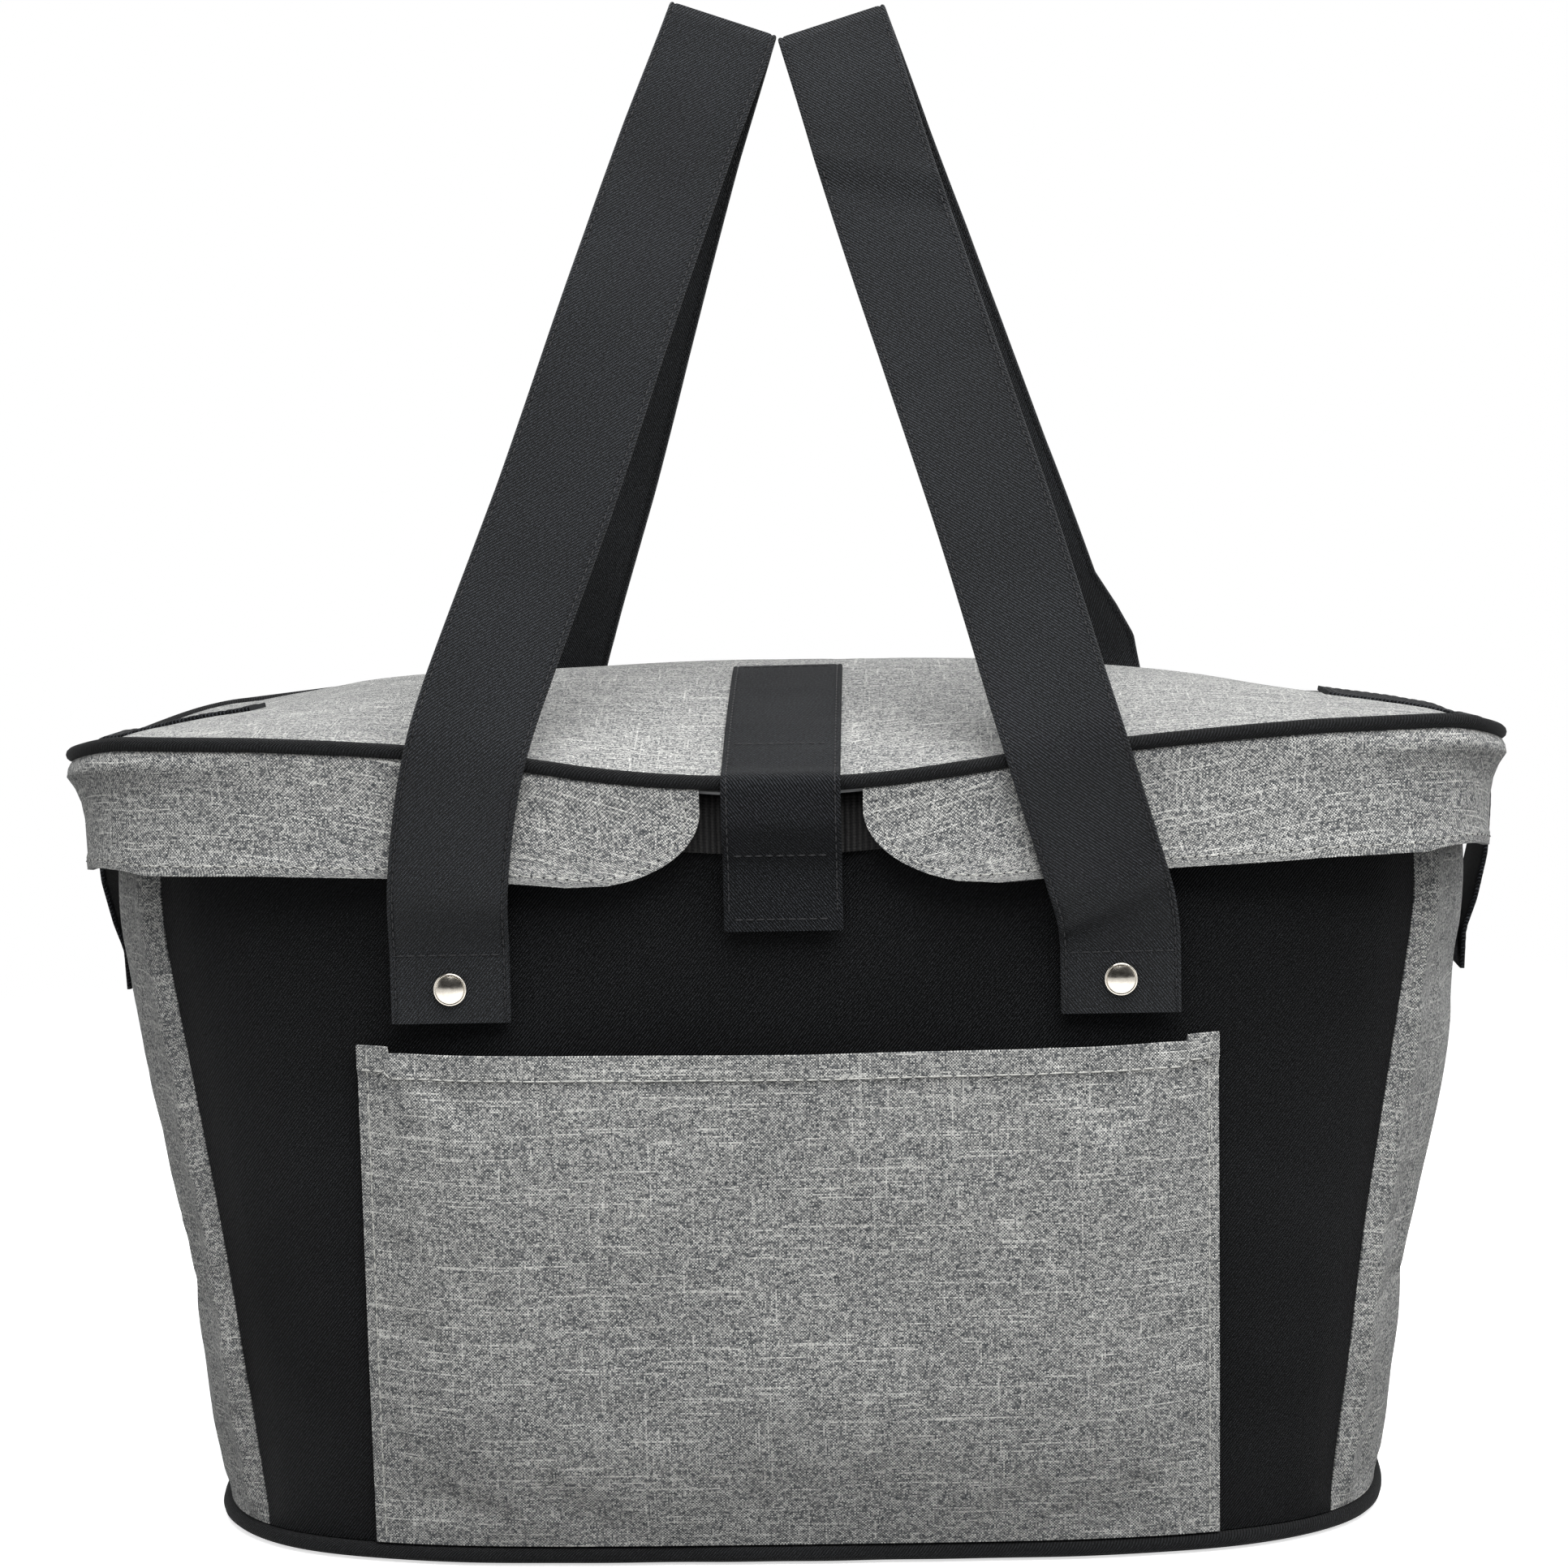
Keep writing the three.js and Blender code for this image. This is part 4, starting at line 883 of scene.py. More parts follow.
row_run = np.linspace(1.0, pocket_rows - 2.0, 200)
side_column = np.interp(pocket_half - side_seam_in, pocket_xs, np.arange(pocket_columns))
hem_row = (1 - hem_seam_down / (pocket_top - pocket_bottom)) * (pocket_rows - 1)
column_run = np.linspace(0.5, pocket_columns - 1.5, 300)
stitch_pitch = 4.1
tail_from = pocket_front[int(hem_row), 3] + (0, -0.5, 0.5)
tail_way = stitch_pitch * np.array((0.75, -0.35, 0.56))
pocket_seams = stitches("pocket_stitches", [
    on_grid(pocket_front, row_run, np.full_like(row_run, side_column)),
    on_grid(pocket_front, row_run, np.full_like(row_run, pocket_columns - 1 - side_column)),
    on_grid(pocket_front, np.full_like(column_run, hem_row), column_run),
    (tail_from + np.linspace(0, 1, 3)[:, None] * tail_way, np.repeat(np.array([[0, -1.0, 0]]), 3, 0)),
], [pale_thread, needle_hole_painted_shade], stitch_pitch, 3.5, 0.32, False)
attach(pocket_seams, "body")
for pressed in (pocket, pocket_seams):
    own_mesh(pressed)


# Lid pad
# The lid's top is the grey melange drawn over a crowned sheet of foam and sewn in at its edge, so
# it is fullest in the middle and falls softly to the piping all round.
lid_squareness = 6.6
lid_rear_squareness = 4.2
crown = 17
crown_fall = 1.1
crown_squareness = 3.0
tab_pull = 4.2
tab_pull_at = (188, 12)
tab_pull_over = (32, 52)
lid_edge_inset = 2.0
lid_deep = 7.2
plug_half_length = 202.9
plug_half_depth = 111.4
lid_columns = 131
lid_rows = 75
lid_ripple = 0.9
edge_pucker = 0.35
least_cloth = 0.5


def lid_power(angle):
    """How square the lid's outline is at a polar angle: its rear corners are the rounder ones."""
    return np.where(np.sin(angle) > 0, lid_rear_squareness, lid_squareness)


def lid_reach(angle, grow):
    """Distance from the lid's middle to its edge, or to a line beside it, at a polar angle."""
    return reach(angle, lid_half_length + grow, lid_half_depth + grow, lid_power(angle))


def dome(x, y):
    """Height of the lid's top, which the side tabs draw down a little where they are sewn on."""
    norm = (np.abs(x) / lid_half_length) ** crown_squareness
    norm = norm + (np.abs(y) / lid_half_depth) ** crown_squareness
    share = np.minimum(norm ** (1 / crown_squareness), 1)
    drawn = ((np.abs(x) - tab_pull_at[0]) / tab_pull_over[0]) ** 2
    drawn = drawn + ((y - tab_pull_at[1]) / tab_pull_over[1]) ** 2
    pull = tab_pull * np.exp(-drawn) * np.clip((1 - share) / 0.08, 0, 1)
    return edge(x, y) + crown * np.maximum(np.cos(share * math.pi / 2), 0) ** crown_fall - pull


lid_x, lid_y = filled(lambda angle: lid_reach(angle, -lid_edge_inset), lid_half_length, lid_half_depth,
                      lid_columns, lid_rows)
lid_face = np.stack([lid_x, lid_y, dome(lid_x, lid_y)], -1)
from_edge = 1 - np.maximum(np.abs(np.linspace(-1, 1, lid_columns))[None, :],
                           np.abs(np.linspace(-1, 1, lid_rows))[:, None])
lid_face[..., 2] += lid_ripple * np.clip(from_edge / 0.1, 0, 1) * ripple(lid_face, 60, 3.7)
puckered = edge_pucker * np.exp(-(from_edge / 0.05) ** 2) * np.clip(from_edge / 0.02, 0, 1)
lid_face[..., 2] += puckered * ripple(lid_face, 11, 9.1)
lid_face = settle("lid_trial", lid_face, from_edge < 0.02, 0.5, 0.002, 2.0)
under = np.clip((1 - reach(np.arctan2(lid_y, lid_x), plug_half_length, plug_half_depth, wall_squareness)
                 / np.maximum(np.hypot(lid_x, lid_y), 1e-6)) / 0.02, -1, 1)
lid_back_z = dome(lid_x, lid_y) - np.where(under < 0, lid_deep, cloth_thick)
lid_back = np.stack([lid_x, lid_y, np.minimum(lid_back_z, lid_face[..., 2] - least_cloth)], -1)
lid_pad = cloth("lid_pad", lid_face, lid_back, [grey_melange])


def at_nearest(away, value):
    """A value between its four nearest points, of which the nearer ones weigh more."""
    close = np.argpartition(away, 4)[:4]
    weight = 1 / (away[close] + 0.05)
    return float((value[close] * weight).sum() / weight.sum())


def lid_height(at):
    """Height of the lid's top at a place, as it lies."""
    away = np.hypot(lid_face[..., 0] - at[0], lid_face[..., 1] - at[1])
    return at_nearest(away.ravel(), lid_face[..., 2].ravel())


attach(lid_pad, "lid")
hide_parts("lid_top", "lid_foam")


# Lid lining
# Pale film under the lid, welded into a shallow tray that holds the foam and drops into the mouth.
# Its brim is sewn in under the piping, where a sliver of it shows beside the front tab.
brim_drop = 1.5
tray_drop = 7.8
tray_shares = (0.1, 0.4, 0.7, 0.93, 1.0)
tray_crease = 0.5
lining_margin = 4.5
peep_half = 52
peep_out = 2.2
peep_down = 2.9
lid_angles = even_angles(0, 2 * math.pi, 241, lid_half_length, lid_half_depth, lid_squareness)[:-1]


def lid_ring(a, b, power, share, drop):
    """A ring under the lid's top: a share of a rounded rectangle, at a drop below the top."""
    r = share * reach(lid_angles, a, b, power)
    x = r * np.cos(lid_angles)
    y = r * np.sin(lid_angles)
    return np.stack([x, y, dome(x, y) - drop], -1)


def tray_ring(grow, share, drop):
    """A ring of the tray, which has the shape of the bag's mouth."""
    return lid_ring(plug_half_length + grow, plug_half_depth + grow, wall_squareness, share, drop)


lid_rings = [tray_ring(0, share, tray_drop) for share in tray_shares]
lid_rings.append(tray_ring(0.3, 1, brim_drop))
brim_size = (lid_half_length - lining_margin, lid_half_depth - lining_margin)
for drop in (brim_drop, brim_drop + film_thick):
    ring = lid_ring(*brim_size, lid_power(lid_angles), 1, drop)
    peep = np.exp(-(ring[:, 0] / peep_half) ** 4) * (ring[:, 1] < 0)
    lid_rings.append(ring + np.stack([0 * peep, -peep_out * peep, -peep_down * peep], -1))
lid_rings.append(tray_ring(1.1, 1, brim_drop + film_thick))
lid_rings.append(tray_ring(0.8, 0.999, tray_drop - 0.6))
for share in tray_shares[::-1]:
    ring = tray_ring(-0.6, share, tray_drop + film_thick)
    ring[:, 2] -= tray_crease * np.maximum(ripple(ring, 26, 2.2), 0)
    lid_rings.append(ring)
lid_lining = stack("lid_lining", lid_rings[::-1], [pale_film])
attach(lid_lining, "lid")
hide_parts("lid_liner")


# Lid piping
# A cord covered in black twill and sewn in between the lid's top and its skirt, all the way round.
# It dips at the middle of the front, where the tab pulls on it.
pipe_drop = 0.6
pipe_radius = 2.25
pipe_angles = even_angles(0, 2 * math.pi, 441, lid_half_length, lid_half_depth, lid_squareness)[:-1]
pipe_rings = []
for turn in cord_turns:
    middle = lid_reach(pipe_angles, 0)
    r = lid_reach(pipe_angles, pipe_radius * math.cos(turn))
    z = edge(middle * np.cos(pipe_angles), middle * np.sin(pipe_angles)) - pipe_drop
    z = z + 0.3 * np.sin(pipe_angles * 11 + 0.6) + pipe_radius * math.sin(turn)
    pipe_rings.append(np.stack([r * np.cos(pipe_angles), r * np.sin(pipe_angles), z], -1))
lid_cord = loop_tube("lid_piping_cord", np.array(pipe_rings), [piping_cover])
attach(lid_cord, "lid")
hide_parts("lid_piping")


# Skirt
# Four lengths of the grey melange that hang from the piping. Each rolls out under the cord, draws
# in below it and ends in a narrow stitched hem with rounded corners at the notches.
skirt_thick = 1.4
skirt_height = 39
skirt_top_drop = 1.8
notch_half = 24.5
notch_radius = 30
notch_reach = {"front": 40, "side": 30}
hem_level = 0.6
skirt_rear_end = 70
skirt_rows = 27
skirt_hem = 5.0
under_strap = 101.6
stitch_in = 3.0
stitch_corner = 7
end_hang_at = (0, 2.5, 6, 10, 15, 21, 39)
end_hang = (0.2, 1.7, 2.2, 0.0, -1.6, -2.5, -3.1)
front_hang_at = (0, 3, 7, 13, 20, 39)
front_hang = (0.2, 0.7, 0.2, -0.4, -0.6, -0.7)
hem_flare = 2.2
hem_fold = 0.45


def notch_width(down, where):
    """Half the width of a notch at a distance below the skirt's top."""
    t = np.clip((down - skirt_height + notch_radius) / notch_radius, 0, 1)
    return notch_half + notch_reach[where] * (1 - np.sqrt(np.maximum(1 - t * t, 0)))


def angle_at_x(x):
    """Polar angle of the lid's front edge at a place along its length."""
    return math.atan2(across(x, lid_half_length, lid_half_depth, lid_squareness), x)


def angle_at_y(y, power):
    """Polar angle of the lid's end edge at a place along its depth."""
    return math.atan2(y, across(y, lid_half_depth, lid_half_length, power))


def skirt_grid(side_x, side_y, columns, first, last):
    """Outer face of one length of skirt, from its top down and from its end notch along the lid."""
    grid = []
    for down in skirt_height * np.linspace(0, 1, skirt_rows):
        angle = even_angles(first(down), last(down), columns, lid_half_length, lid_half_depth,
                            lid_squareness)
        middle = lid_reach(side_y * angle, 0)
        x = middle * np.cos(angle)
        y = middle * np.sin(angle)
        end = np.clip((np.abs(x) - 150) / 65, 0, 1)
        pull = np.interp(down, end_hang_at, end_hang)
        front_pull = np.interp(down, front_hang_at, front_hang)
        free_hang = 1 - np.exp(-((np.abs(x) - under_strap) / 30) ** 2)
        flare = hem_flare * free_hang * (down / skirt_height) ** 1.3
        grow = end * pull + (1 - end) * (front_pull + flare)
        swing = (down / skirt_height) * (0.9 * np.sin(x / 27 + side_x) + 0.5 * np.sin(x / 13 + 2 * side_x))
        swing = swing * np.clip(1.2 - end, 0, 1)
        grow = grow + np.minimum(swing, 0.3)
        r = lid_reach(side_y * angle, grow)
        short = hem_level * front_dip * np.exp(-(x / dip_spread) ** 2) * (side_y < 0)
        short = (short + 0.8 * tip_sag * np.clip((np.abs(x) - tip_from) / 20, 0, 1)) / skirt_height
        z = edge(x, side_y * y) - skirt_top_drop - down * (1 - short)
        z = z + (down / skirt_height) * 0.5 * np.sin(x / 31 + 1.3 * side_x)
        grid.append(np.stack([side_x * r * np.cos(angle), side_y * r * np.sin(angle), z], -1))
    grid = np.array(grid)
    return grid[:, ::-1] if side_x * side_y < 0 else grid


def flat_area(grid):
    """Area of a grid of points in square metres."""
    crossed = np.cross(grid[1:, 1:] - grid[:-1, :-1], grid[1:, :-1] - grid[:-1, 1:])
    return float(np.linalg.norm(crossed, axis=2).sum() / 2 * mm * mm)


def hem_line(grid, inset):
    """The line of a skirt's hem stitches: down one end, along its lower edge and up the other."""
    rows, columns = grid.shape[:2]
    down = inset / skirt_height * (rows - 1)
    length = np.linalg.norm(np.diff(grid[-1], axis=0), axis=1).sum()
    aside = inset / length * (columns - 1)
    turn = np.linspace(0, math.pi / 2, 12)
    corner_r = stitch_corner / skirt_height * (rows - 1)
    corner_c = stitch_corner / length * (columns - 1)
    lowest = rows - 1 - down
    far = columns - 1 - aside
    up = np.linspace(1.5, lowest - corner_r, 60)
    flat = np.linspace(aside + corner_c, far - corner_c, 240)
    r = np.concatenate([up, lowest - corner_r * (1 - np.sin(turn)), np.full_like(flat, lowest),
                        lowest - corner_r * (1 - np.cos(turn)), up[::-1]])
    c = np.concatenate([np.full_like(up, aside), aside + corner_c * (1 - np.cos(turn)), flat,
                        far - corner_c * (1 - np.sin(turn)), np.full_like(up, far)])
    return on_grid(grid, r, c)


for side, side_x in (("left", -1), ("right", 1)):
    for end, side_y, columns, first, last in (
            ("front", -1, 141, lambda down: angle_at_y(notch_width(down, "side"), lid_squareness),
             lambda down: angle_at_x(notch_width(down, "front"))),
            ("rear", 1, 13, lambda down: angle_at_y(notch_width(down, "side"), lid_rear_squareness),
             lambda down: angle_at_y(skirt_rear_end, lid_rear_squareness))):
        face = skirt_grid(side_x, side_y, columns, first, last)[::-1]
        facing = outward(face)
        if (facing[..., :2] * face[..., :2]).sum() < 0:
            face = face[:, ::-1]
            facing = outward(face)
        down = np.linspace(skirt_height, 0, skirt_rows)[:, None] + np.zeros((1, columns))
        fold = hem_fold * np.clip((down - skirt_height + skirt_hem) / 0.9 + 0.5, 0, 1)
        front = face + facing * fold[..., None]
        skirt = cloth(f"skirt_{end}_{side}_cloth", front, face - facing * skirt_thick, [grey_melange])
        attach(skirt, "lid")
        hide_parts(f"skirt_{end}_{side}")
        seam = stitches(f"skirt_{end}_{side}_stitches", [hem_line(front[::-1], stitch_in)],
                        [pale_thread, needle_hole_painted_shade], 3.6, 2.7, 0.34, True)
        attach(seam, "lid")
        flat_area(front)


# Hinge tape
# A strip of black twill tape sewn flat to the rear wall below the binding and turned up under the
# lid's piping. It is the lid's only hinge.
tape_length = 220
tape_thick = 1.2
tape_lie = 0.6
tape_line = np.array([(130, 246.9), (128.9, 246.1), (127.45, 245.1), (125.8, 243.4), (124.95, 241.2),
                      (124.9, 238), (124.9, 232), (124.9, 226), (124.9, 220.9)])
tape_x = np.linspace(-tape_length / 2, tape_length / 2, 71)
tape_bow = across(tape_x, half_lengths[3], half_depths[3], wall_squareness) - half_depths[3]
tape_face = np.stack([np.stack([-tape_x, o + tape_lie + tape_bow, np.full_like(tape_x, z)], -1)
                      for o, z in tape_line])[::-1]
tape_back = tape_face - outward(tape_face) * tape_thick
hinge = cloth("hinge_tape_cloth", tape_face, tape_back, [body_twill_painted_shade])
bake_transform(hinge)
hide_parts("hinge_tape")
tape_run = np.linspace(0.5, 69.5, 200)
tape_seam = stitches("hinge_tape_stitches", [
    on_grid(tape_face, np.full_like(tape_run, row), tape_run) for row in (0.6, 2.4)
], [black_thread_and_dent_shade], 3.4, 2.8, 0.32, False)
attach(tape_seam, "body")
flat_area(tape_face)


# Closure tabs
# Three straps of doubled black twill, sewn on the lid and hanging over its edge. Each has a strip
# of hooks inside its lower end, which presses on a strip of loops sewn to the wall.
tab_width = 36
tab_thick = 1.6
tab_lay = 0.1
tab_seam_at = 16.35
tab_bar = 30
strip_half = 17
strip_thick = 1.0
# The straps' and tabs' twill is the body's black cloth set lighter: painted light, for faces that catch the
# lamp overhead.
strap_twill_painted_light = twill("strap_twill_painted_light", (0.0008, 0.0010, 0.0013), (0.0730, 0.0805, 0.0930), 0.17, 0.68)
tab_twill_painted_light = twill("tab_twill_painted_light", (0.0008, 0.0010, 0.0013), (0.0680, 0.0740, 0.0850), 0.09, 0.80)


def smooth_line(points, count, softness=2):
    """A line through points, walked evenly, with its corners eased."""
    points = np.asarray(points, float)
    walked = way_along(points)
    even = np.linspace(0, walked[-1], count)
    line = np.stack([np.interp(even, walked, points[:, k]) for k in range(points.shape[1])], -1)
    for _ in range(softness):
        line[1:-1] = (line[:-2] + 2 * line[1:-1] + line[2:]) / 4
    return line


def band(name, middles, wide, width, thick, finishes, groove=1.65, creases=()):
    """A flat strap along a line of points, with unit vectors across it and its thickness at each point.
    A crease is the way along the strap, its slant, its height and how broad it is."""
    ahead = np.gradient(middles, axis=0)
    ahead /= np.linalg.norm(ahead, axis=1, keepdims=True)
    up = np.cross(wide, ahead)
    up /= np.linalg.norm(up, axis=1, keepdims=True)
    half = width / 2
    steps = np.array([0.0, 0.12, 0.4, 0.8, 1.15, groove, groove + 0.6, groove + 1.4, 6.5, 11.0, half])
    rise = np.array([0.0, 0.55, 0.88, 1.0, 0.96, 0.70, 0.95, 1.0, 1.0, 1.0, 1.0])
    place = np.concatenate([-half + steps, (half - steps)[-2::-1]])
    rise = np.concatenate([rise, rise[-2::-1]])
    section = np.concatenate([np.stack([place, rise], -1), np.stack([place, -rise], -1)[-2:0:-1]])
    count = len(section)
    rings = (middles[:, None] + wide[:, None] * section[None, :, :1]
             + up[:, None] * section[None, :, 1:] * (np.asarray(thick)[:, None, None] / 2))
    number = np.arange(len(middles) * count).reshape(len(middles), count)
    walked = way_along(middles)
    for at, slant, high, broad in creases:
        fold = high * np.exp(-((walked[:, None] - at - slant * section[None, :, 0]) / broad) ** 2)
        rings = rings + up[:, None] * fold[..., None]
    pads = np.pad(number, ((0, 0), (0, 1)), mode="wrap")
    faces = corners(pads).reshape(-1, 4)
    uv = np.stack(np.broadcast_arrays(section[None, :, 0], walked[:, None]), -1).reshape(-1, 2)
    corner_uv = uv[faces].reshape(-1, 2)
    caps = [number[0].tolist(), number[-1][::-1].tolist()]
    corner_uv = np.concatenate([corner_uv, uv[caps[0]], uv[caps[1]]])
    made = piece(name, rings.reshape(-1, 3), faces.tolist() + caps, corner_uv, finishes, sharp=60)
    return made, up


def band_run(middles, up, wide, thick, offset, first, last, face):
    """A row of stitches along a strap, at an offset across it, on its upper (1) or lower (-1) face."""
    keep = slice(first, last)
    rise = np.asarray(thick)[keep, None] / 2 * 0.82
    return middles[keep] + wide[keep] * offset + face * up[keep] * rise, face * up[keep]


def band_bar(middles, up, wide, thick, at, width, face):
    """A row of stitches across a strap."""
    spread = np.linspace(-width / 2, width / 2, 40)[:, None]
    line = middles[at] + wide[at] * spread + face * up[at] * (thick[at] / 2)
    return line, np.repeat((face * up[at])[None], 40, 0)


def fuzz(name):
    """Hook and loop strip: a dark pile of short bristles."""
    lay = surface(name, {"Roughness": 0.95, "Specular IOR Level": 0.15, "Sheen Weight": 0.3,
                         "Sheen Roughness": 0.4})
    place = lay.node("ShaderNodeTexCoord", out="Object")
    pile = lay.node("ShaderNodeTexVoronoi", None, {"Vector": place, "Scale": 1100.0})
    lay.feed(lay.shader, {
        "Base Color": lay.node("ShaderNodeValToRGB", {"stops": [
            (0.0, (0.022, 0.022, 0.024)), (0.7, (0.004, 0.004, 0.005))]}, {"Fac": pile}),
        "Normal": lay.node("ShaderNodeBump", {"invert": True},
                           {"Strength": 0.8, "Distance": 0.0006, "Height": pile})})
    return lay


hook_pile = fuzz("hook_pile")
tab_table = {
    "front": dict(turn=-math.pi / 2, out=130, anchor=126, hook=125.1, low=200, loop=16, hug=0.95,
                  flap=[(134.4, 242.8), (134.4, 233.2), (127.1, 220), (127.1, 200)]),
    "left": dict(turn=math.pi, out=223.5, anchor=47, hook=217.6, low=167, loop=38, hug=0.95,
                 flap=[(227.9, 253.54), (228.3, 242), (228.2, 220), (226.8, 203), (223.4, 189),
                       (220.2, 180), (219.6, 167)]),
    "right": dict(turn=0, out=223.5, anchor=47, hook=217.6, low=167, loop=38, hug=0.4,
                  flap=[(227.9, 253.54), (228.3, 242), (228.2, 221), (227.2, 205), (223.8, 190),
                        (220.2, 180), (219.6, 167)]),
}
for name, tab in tab_table.items():
    out_way = np.array((math.cos(tab["turn"]), math.sin(tab["turn"]), 0))
    wide_way = np.array((-math.sin(tab["turn"]), math.cos(tab["turn"]), 0))
    lie = []
    tab_across = np.linspace(-tab_width / 2, tab_width / 2, 5)
    for o in np.linspace(tab["out"] - tab["anchor"], tab["out"] - 8, 40):
        under = [lid_height(out_way * o + wide_way * c) for c in tab_across]
        slope = tab["hug"] * (under[4] - under[0]) / tab_width
        high = max(h - slope * c for h, c in zip(under, tab_across))
        lie.append((o, high + tab_lay + tab_thick / 2, slope))
    at = out_way * tab["out"]
    brow = float(edge(at[0], at[1])) - pipe_drop + pipe_radius + 0.1 + tab_thick / 2
    ends = [edge(*(at + wide_way * c)[:2]) for c in (-tab_width / 2, tab_width / 2)]
    slope = float(ends[1] - ends[0]) / tab_width
    lie += [(tab["out"] - 2.5, brow, slope), (tab["out"] + 0.8, brow, slope),
            (tab["flap"][0][0] - 1.3, brow - 1.0, slope), (tab["flap"][0][0], brow - 2.6, slope)]
    bend_from = (out_way * (tab["out"] - 2.5) + (0, 0, brow + 3.8)) * mm
    bend_to = (out_way * (tab["out"] + 5) + (0, 0, brow - 5)) * mm
    side_line = smooth_line(lie + [(o, z, 0) for o, z in tab["flap"][1:]], 150, 3)
    middles = side_line[:, :1] * out_way + np.array((0, 0, 1)) * side_line[:, 1:2]
    wide = wide_way + np.array((0, 0, 1)) * side_line[:, 2:]
    wide /= np.linalg.norm(wide, axis=1, keepdims=True)
    thick = np.full(len(middles), tab_thick)
    strap, up = band(f"{name}_tab_cloth", middles, wide, tab_width, thick, [tab_twill_painted_light])
    face = 1 if up[0][2] > 0 else -1
    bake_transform(strap)
    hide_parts(name + "_tab", name + "_tab_anchor")
    walked = way_along(middles)
    bars = [3, np.searchsorted(walked, walked[-1] - 4.6)]
    if name == "front":
        bars += [np.searchsorted(walked, walked[-1] - 24.5), np.searchsorted(walked, tab["anchor"] - 27)]
    rows = [band_run(middles, up, wide, thick, offset, 2, 147, face)
            for offset in (-tab_seam_at, tab_seam_at)]
    rows += [band_bar(middles, up, wide, thick, int(k), tab_bar, face) for k in bars]
    seam = stitches(f"{name}_tab_stitches", rows, [black_thread_and_dent_shade], 3.2, 2.6, 0.30, False)
    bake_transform(seam)

    low = tab["low"]
    hook_z = np.linspace(low + 2, low + 19, 9)
    hook_c = np.linspace(-strip_half, strip_half, 15)
    hook_out = np.stack([out_way * (tab["hook"] - 0.5) + wide_way * -c + np.array((0, 0, z))
                         for z in hook_z for c in hook_c]).reshape(len(hook_z), len(hook_c), 3)
    hooks = cloth(f"{name}_hook_strip", hook_out, hook_out + out_way * strip_thick, [hook_pile])
    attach(hooks, name + "_tab")
    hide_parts(name + "_tab_hook")

    loop_z = np.linspace(low + 1, low + 1 + tab["loop"], 13)
    sewn_on = wall_face[name].reshape(-1, 3)
    loop_grid = []
    for z in loop_z:
        for c in hook_c:
            away = np.hypot(sewn_on @ wide_way - c, sewn_on[:, 2] - z)
            stand = at_nearest(away, sewn_on @ out_way)
            loop_grid.append(out_way * stand + wide_way * c + np.array((0, 0, z)))
    loop_grid = np.array(loop_grid).reshape(len(loop_z), len(hook_c), 3)
    loops = cloth(f"{name}_loop_strip", loop_grid + out_way * 1.3, loop_grid + out_way * 0.3, [hook_pile])
    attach(loops, "body")
    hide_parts(name + "_loop_patch")


# Carry straps
# Two long straps of twill folded to four layers and sewn along both edges. Each runs from the
# front over the lid to the rear, creased at its top, with both ends turned under and riveted.
strap_width = 36.5
strap_thick = 2.6
strap_rise = {"left": 309, "right": 306}
strap_lean = {"left": math.radians(19.0), "right": math.radians(16.6)}
strap_seat = {"left": 13, "right": 8}
strap_turn_over = {"left": 80, "right": 20}
end_seam = {"left": 10.4, "right": 7.4}
rear_bow_at = (15, 60, 80, 92, 105, 155, 233, 306)
rear_bow = {"left": (0, -5, -6, -6, -5.5, -4.2, -2, 0), "right": (0, 19, 21, 18, 13.5, 9.6, 5.5, 0)}
strap_creases = {"left": [(205, -0.5, 0.5, 7), (236, 0.3, -0.4, 6)],
                 "right": [(247, 0.6, 1.3, 4), (257, 0.6, -1.0, 4.5), (190, -0.4, 0.5, 7),
                           (19, -0.3, 0.7, 3), (25, -0.4, -0.6, 3), (32, -0.35, 0.6, 4)]}
strap_seam_at = 16.6
strap_bar = 33
leg_points = 170
rivet_x = 101.6
rivet_height = 183.5
leg = [(-10.5, 124.4), (0, 124.4), (13, 124.4), (28.3, 131.9), (50, 133.2), (64.8, 134.5), (75.2, 134.5)]
leg_top, leg_out = leg[-1]
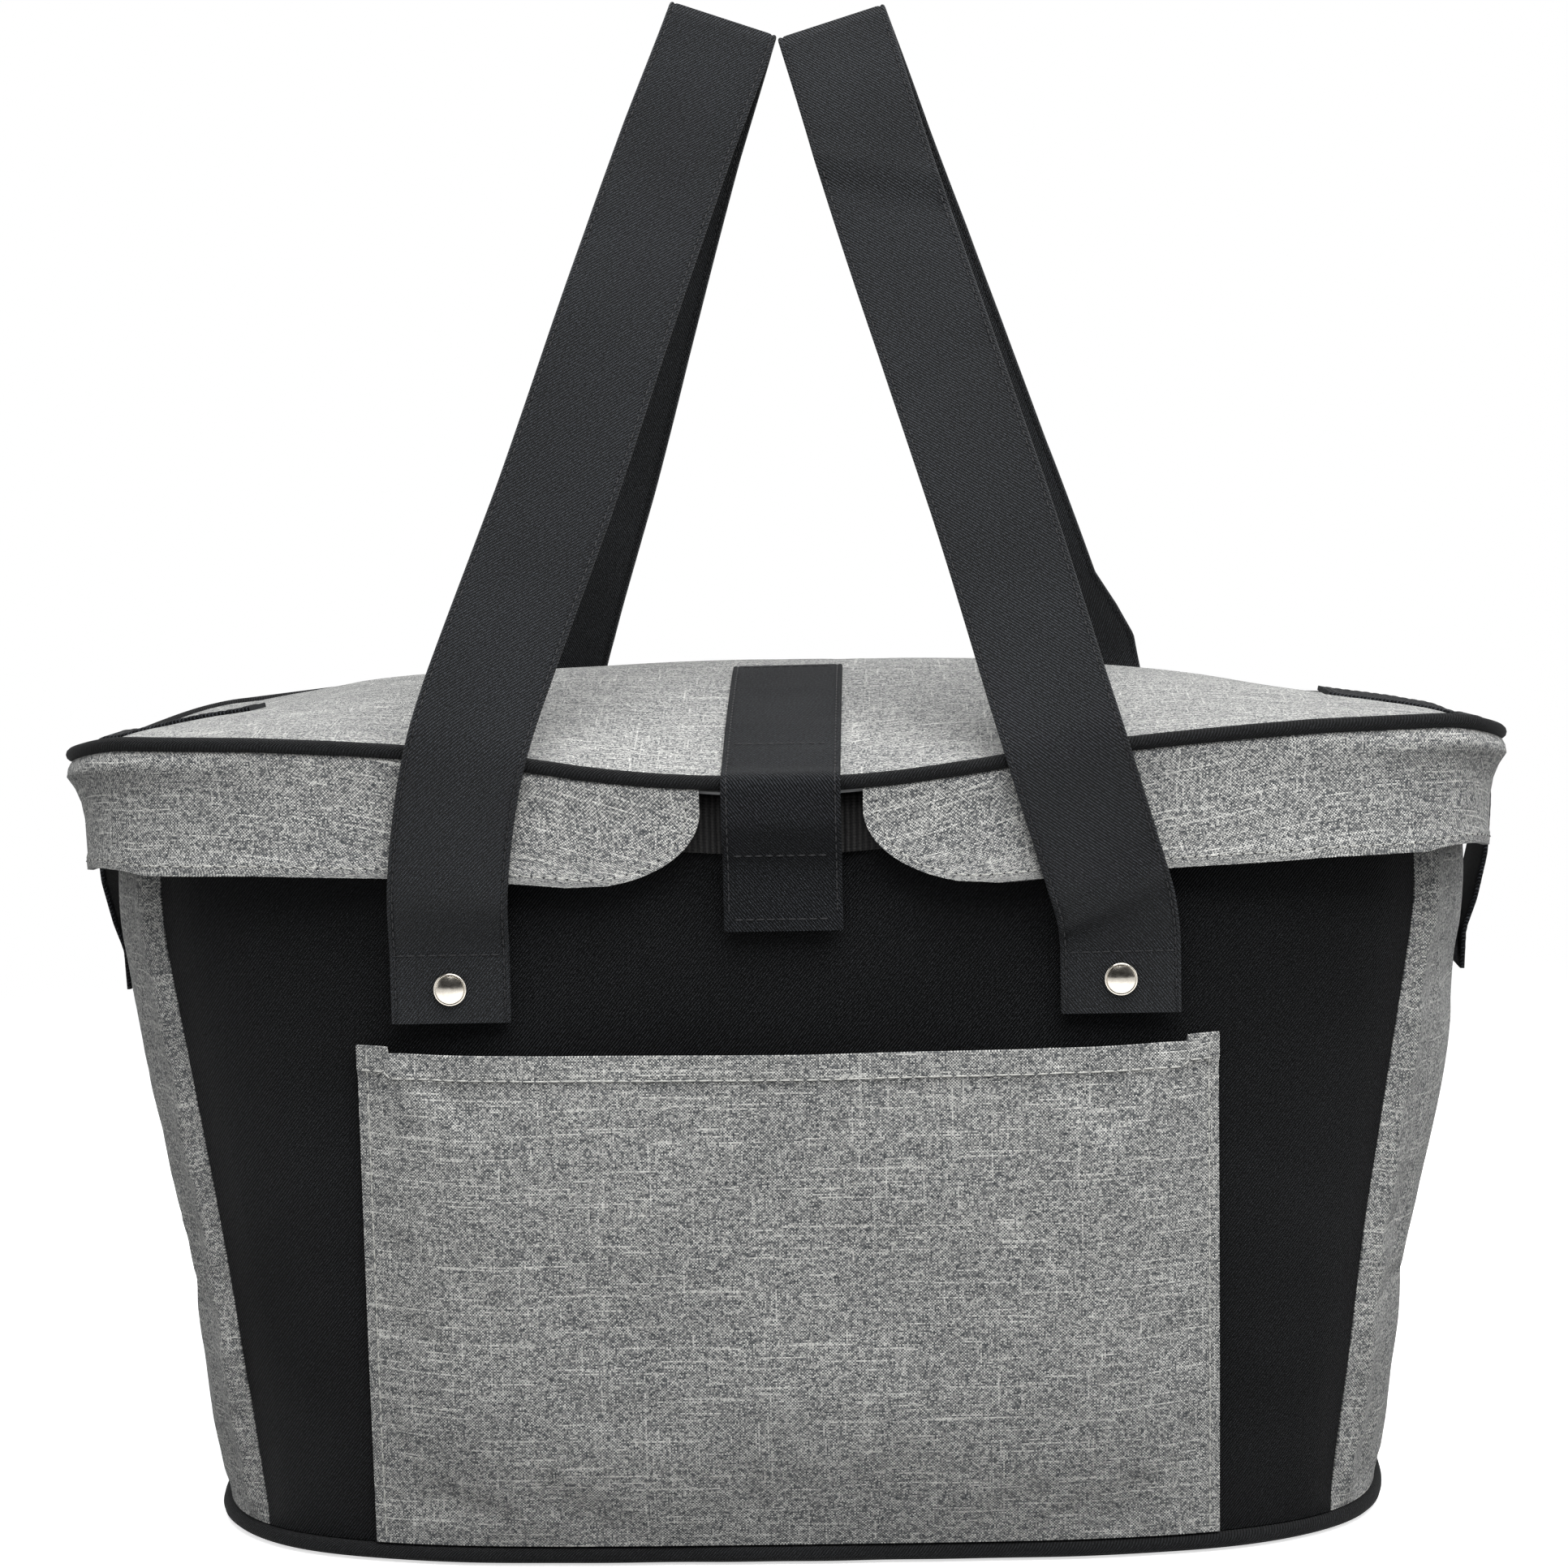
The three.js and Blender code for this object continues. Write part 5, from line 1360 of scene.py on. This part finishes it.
for side, side_x in (("left", -1), ("right", 1)):
    rise = strap_rise[side]
    fine_s = np.linspace(-11, rise, 2000)
    fine_turn = strap_lean[side] * np.clip((fine_s - strap_seat[side]) / strap_turn_over[side], 0, 1)
    fine_step = np.diff(fine_s, prepend=fine_s[0])
    fine_in = np.cumsum(np.sin(fine_turn) * fine_step)
    fine_up = np.cumsum(np.cos(fine_turn) * fine_step)
    fine_up -= np.interp(0, fine_s, fine_up)
    free_leg = [(leg_top + (rise - leg_top) * k, leg_out * (1 - k)) for k in (0.2, 0.45, 0.7, 0.9, 0.975, 1)]
    half_line = smooth_line(leg + free_leg, leg_points, 4)
    half_line[-1] = (rise, 0)
    path = np.concatenate([half_line * (1, -1), half_line[-2::-1]])
    s, y = path[:, 0], path[:, 1]
    middles = np.stack([side_x * (rivet_x - np.interp(s, fine_s, fine_in)), y,
                        rivet_height + np.interp(s, fine_s, fine_up)], -1)
    turn = np.interp(s, fine_s, fine_turn)
    wide = np.stack([-side_x * np.cos(turn), 0 * s, -np.sin(turn)], -1)
    free = np.clip((s - 90) / 60, 0, 1) * np.clip((rise - s) / 40, 0, 1)
    middles[:, 1] += np.sign(y) * free * 1.1 * np.sin(s / 23 + side_x) * np.where(y < 0, 1, 0.6)
    middles += wide * (free * 0.8 * np.sin(s / 41 + 2 * side_x))[:, None]
    middles[:, 0] += side_x * np.interp(s, rear_bow_at, rear_bow[side]) * (y > 0)
    middles += wide * (1.0 * np.clip((s - 200) / 100, 0, 1))[:, None]
    thick = strap_thick + 0.5 * np.clip((end_seam[side] - s) / 1.2 + 0.5, 0, 1)
    way = way_along(middles)
    creases = [(np.interp(at, s[:leg_points], way[:leg_points]), *shape)
               for at, *shape in strap_creases[side]]
    strap, up = band(f"{side}_strap_cloth", middles, wide, strap_width, thick, [strap_twill_painted_light],
                     creases=creases)
    face = 1 if up[40][1] < 0 else -1
    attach(strap, side + "_strap")
    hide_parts(side + "_strap")
    last = len(middles)
    bar_front = int(np.searchsorted(s[:leg_points], end_seam[side]))
    rows = [band_run(middles, up, wide, thick, offset, 2, last - 2, way_up)
            for way_up in (face, -face) for offset in (-strap_seam_at, strap_seam_at)]
    rows += [band_bar(middles, up, wide, thick, k, strap_bar, face)
             for k in (bar_front, last - 1 - bar_front)]
    seam = stitches(f"{side}_strap_stitches", rows, [black_thread_and_dent_shade], 3.2, 2.6, 0.30, False)
    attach(seam, side + "_strap")


# Rivets
# Four nickel-plated cap rivets set through each strap's end and the wall: a domed cap outside, a
# post, and a flat washer head inside the foam.
cap_radius = 5.1
cap_top = 128.42
dome_radius = 4.2
dome_round = 11.5
cap_profile = [(4.4, 117.9), (4.4, 118.9), (2.0, 118.9), (2.0, 126.0), (4.75, 126.0), (5.0, 126.12),
               (cap_radius, 126.4), (5.04, 126.75), (4.85, 126.98), (4.6, 127.03), (4.35, 126.95)]
cap_profile += [(r, cap_top - dome_round + math.sqrt(dome_round ** 2 - r ** 2))
                for r in dome_radius * np.array((1, 0.93, 0.84, 0.73, 0.6, 0.46, 0.3, 0.14))]


def plated(name):
    """Bright nickel plate: mirror-like with faint rub marks."""
    lay = surface(name, {"Metallic": 1.0})
    place = lay.node("ShaderNodeTexCoord", out="Object")
    rub = lay.node("ShaderNodeTexNoise", None, {"Vector": place, "Scale": 700.0, "Detail": 3.0})
    lay.feed(lay.shader, {
        "Base Color": lay.node("ShaderNodeValToRGB", {"stops": [
            (0.3, (0.57, 0.53, 0.47)), (0.7, (0.69, 0.65, 0.58))]}, {"Fac": rub}),
        "Roughness": 0.11 + rub * 0.14})
    return lay


nickel_plate = plated("nickel_plate")
rivet_around = 48
for end, side_y in (("front", -1), ("rear", 1)):
    for side, side_x in (("left", -1), ("right", 1)):
        turns = np.linspace(0, 2 * math.pi, rivet_around, endpoint=False) * side_y
        rings = [np.stack([side_x * rivet_x + r * np.cos(turns), np.full_like(turns, side_y * o),
                           rivet_height + r * np.sin(turns)], -1) for r, o in cap_profile]
        rivet = stack(f"rivet_{end}_{side}_cap", rings[::-1], [nickel_plate])
        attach(rivet, "body")
        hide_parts(f"rivet_{end}_{side}")
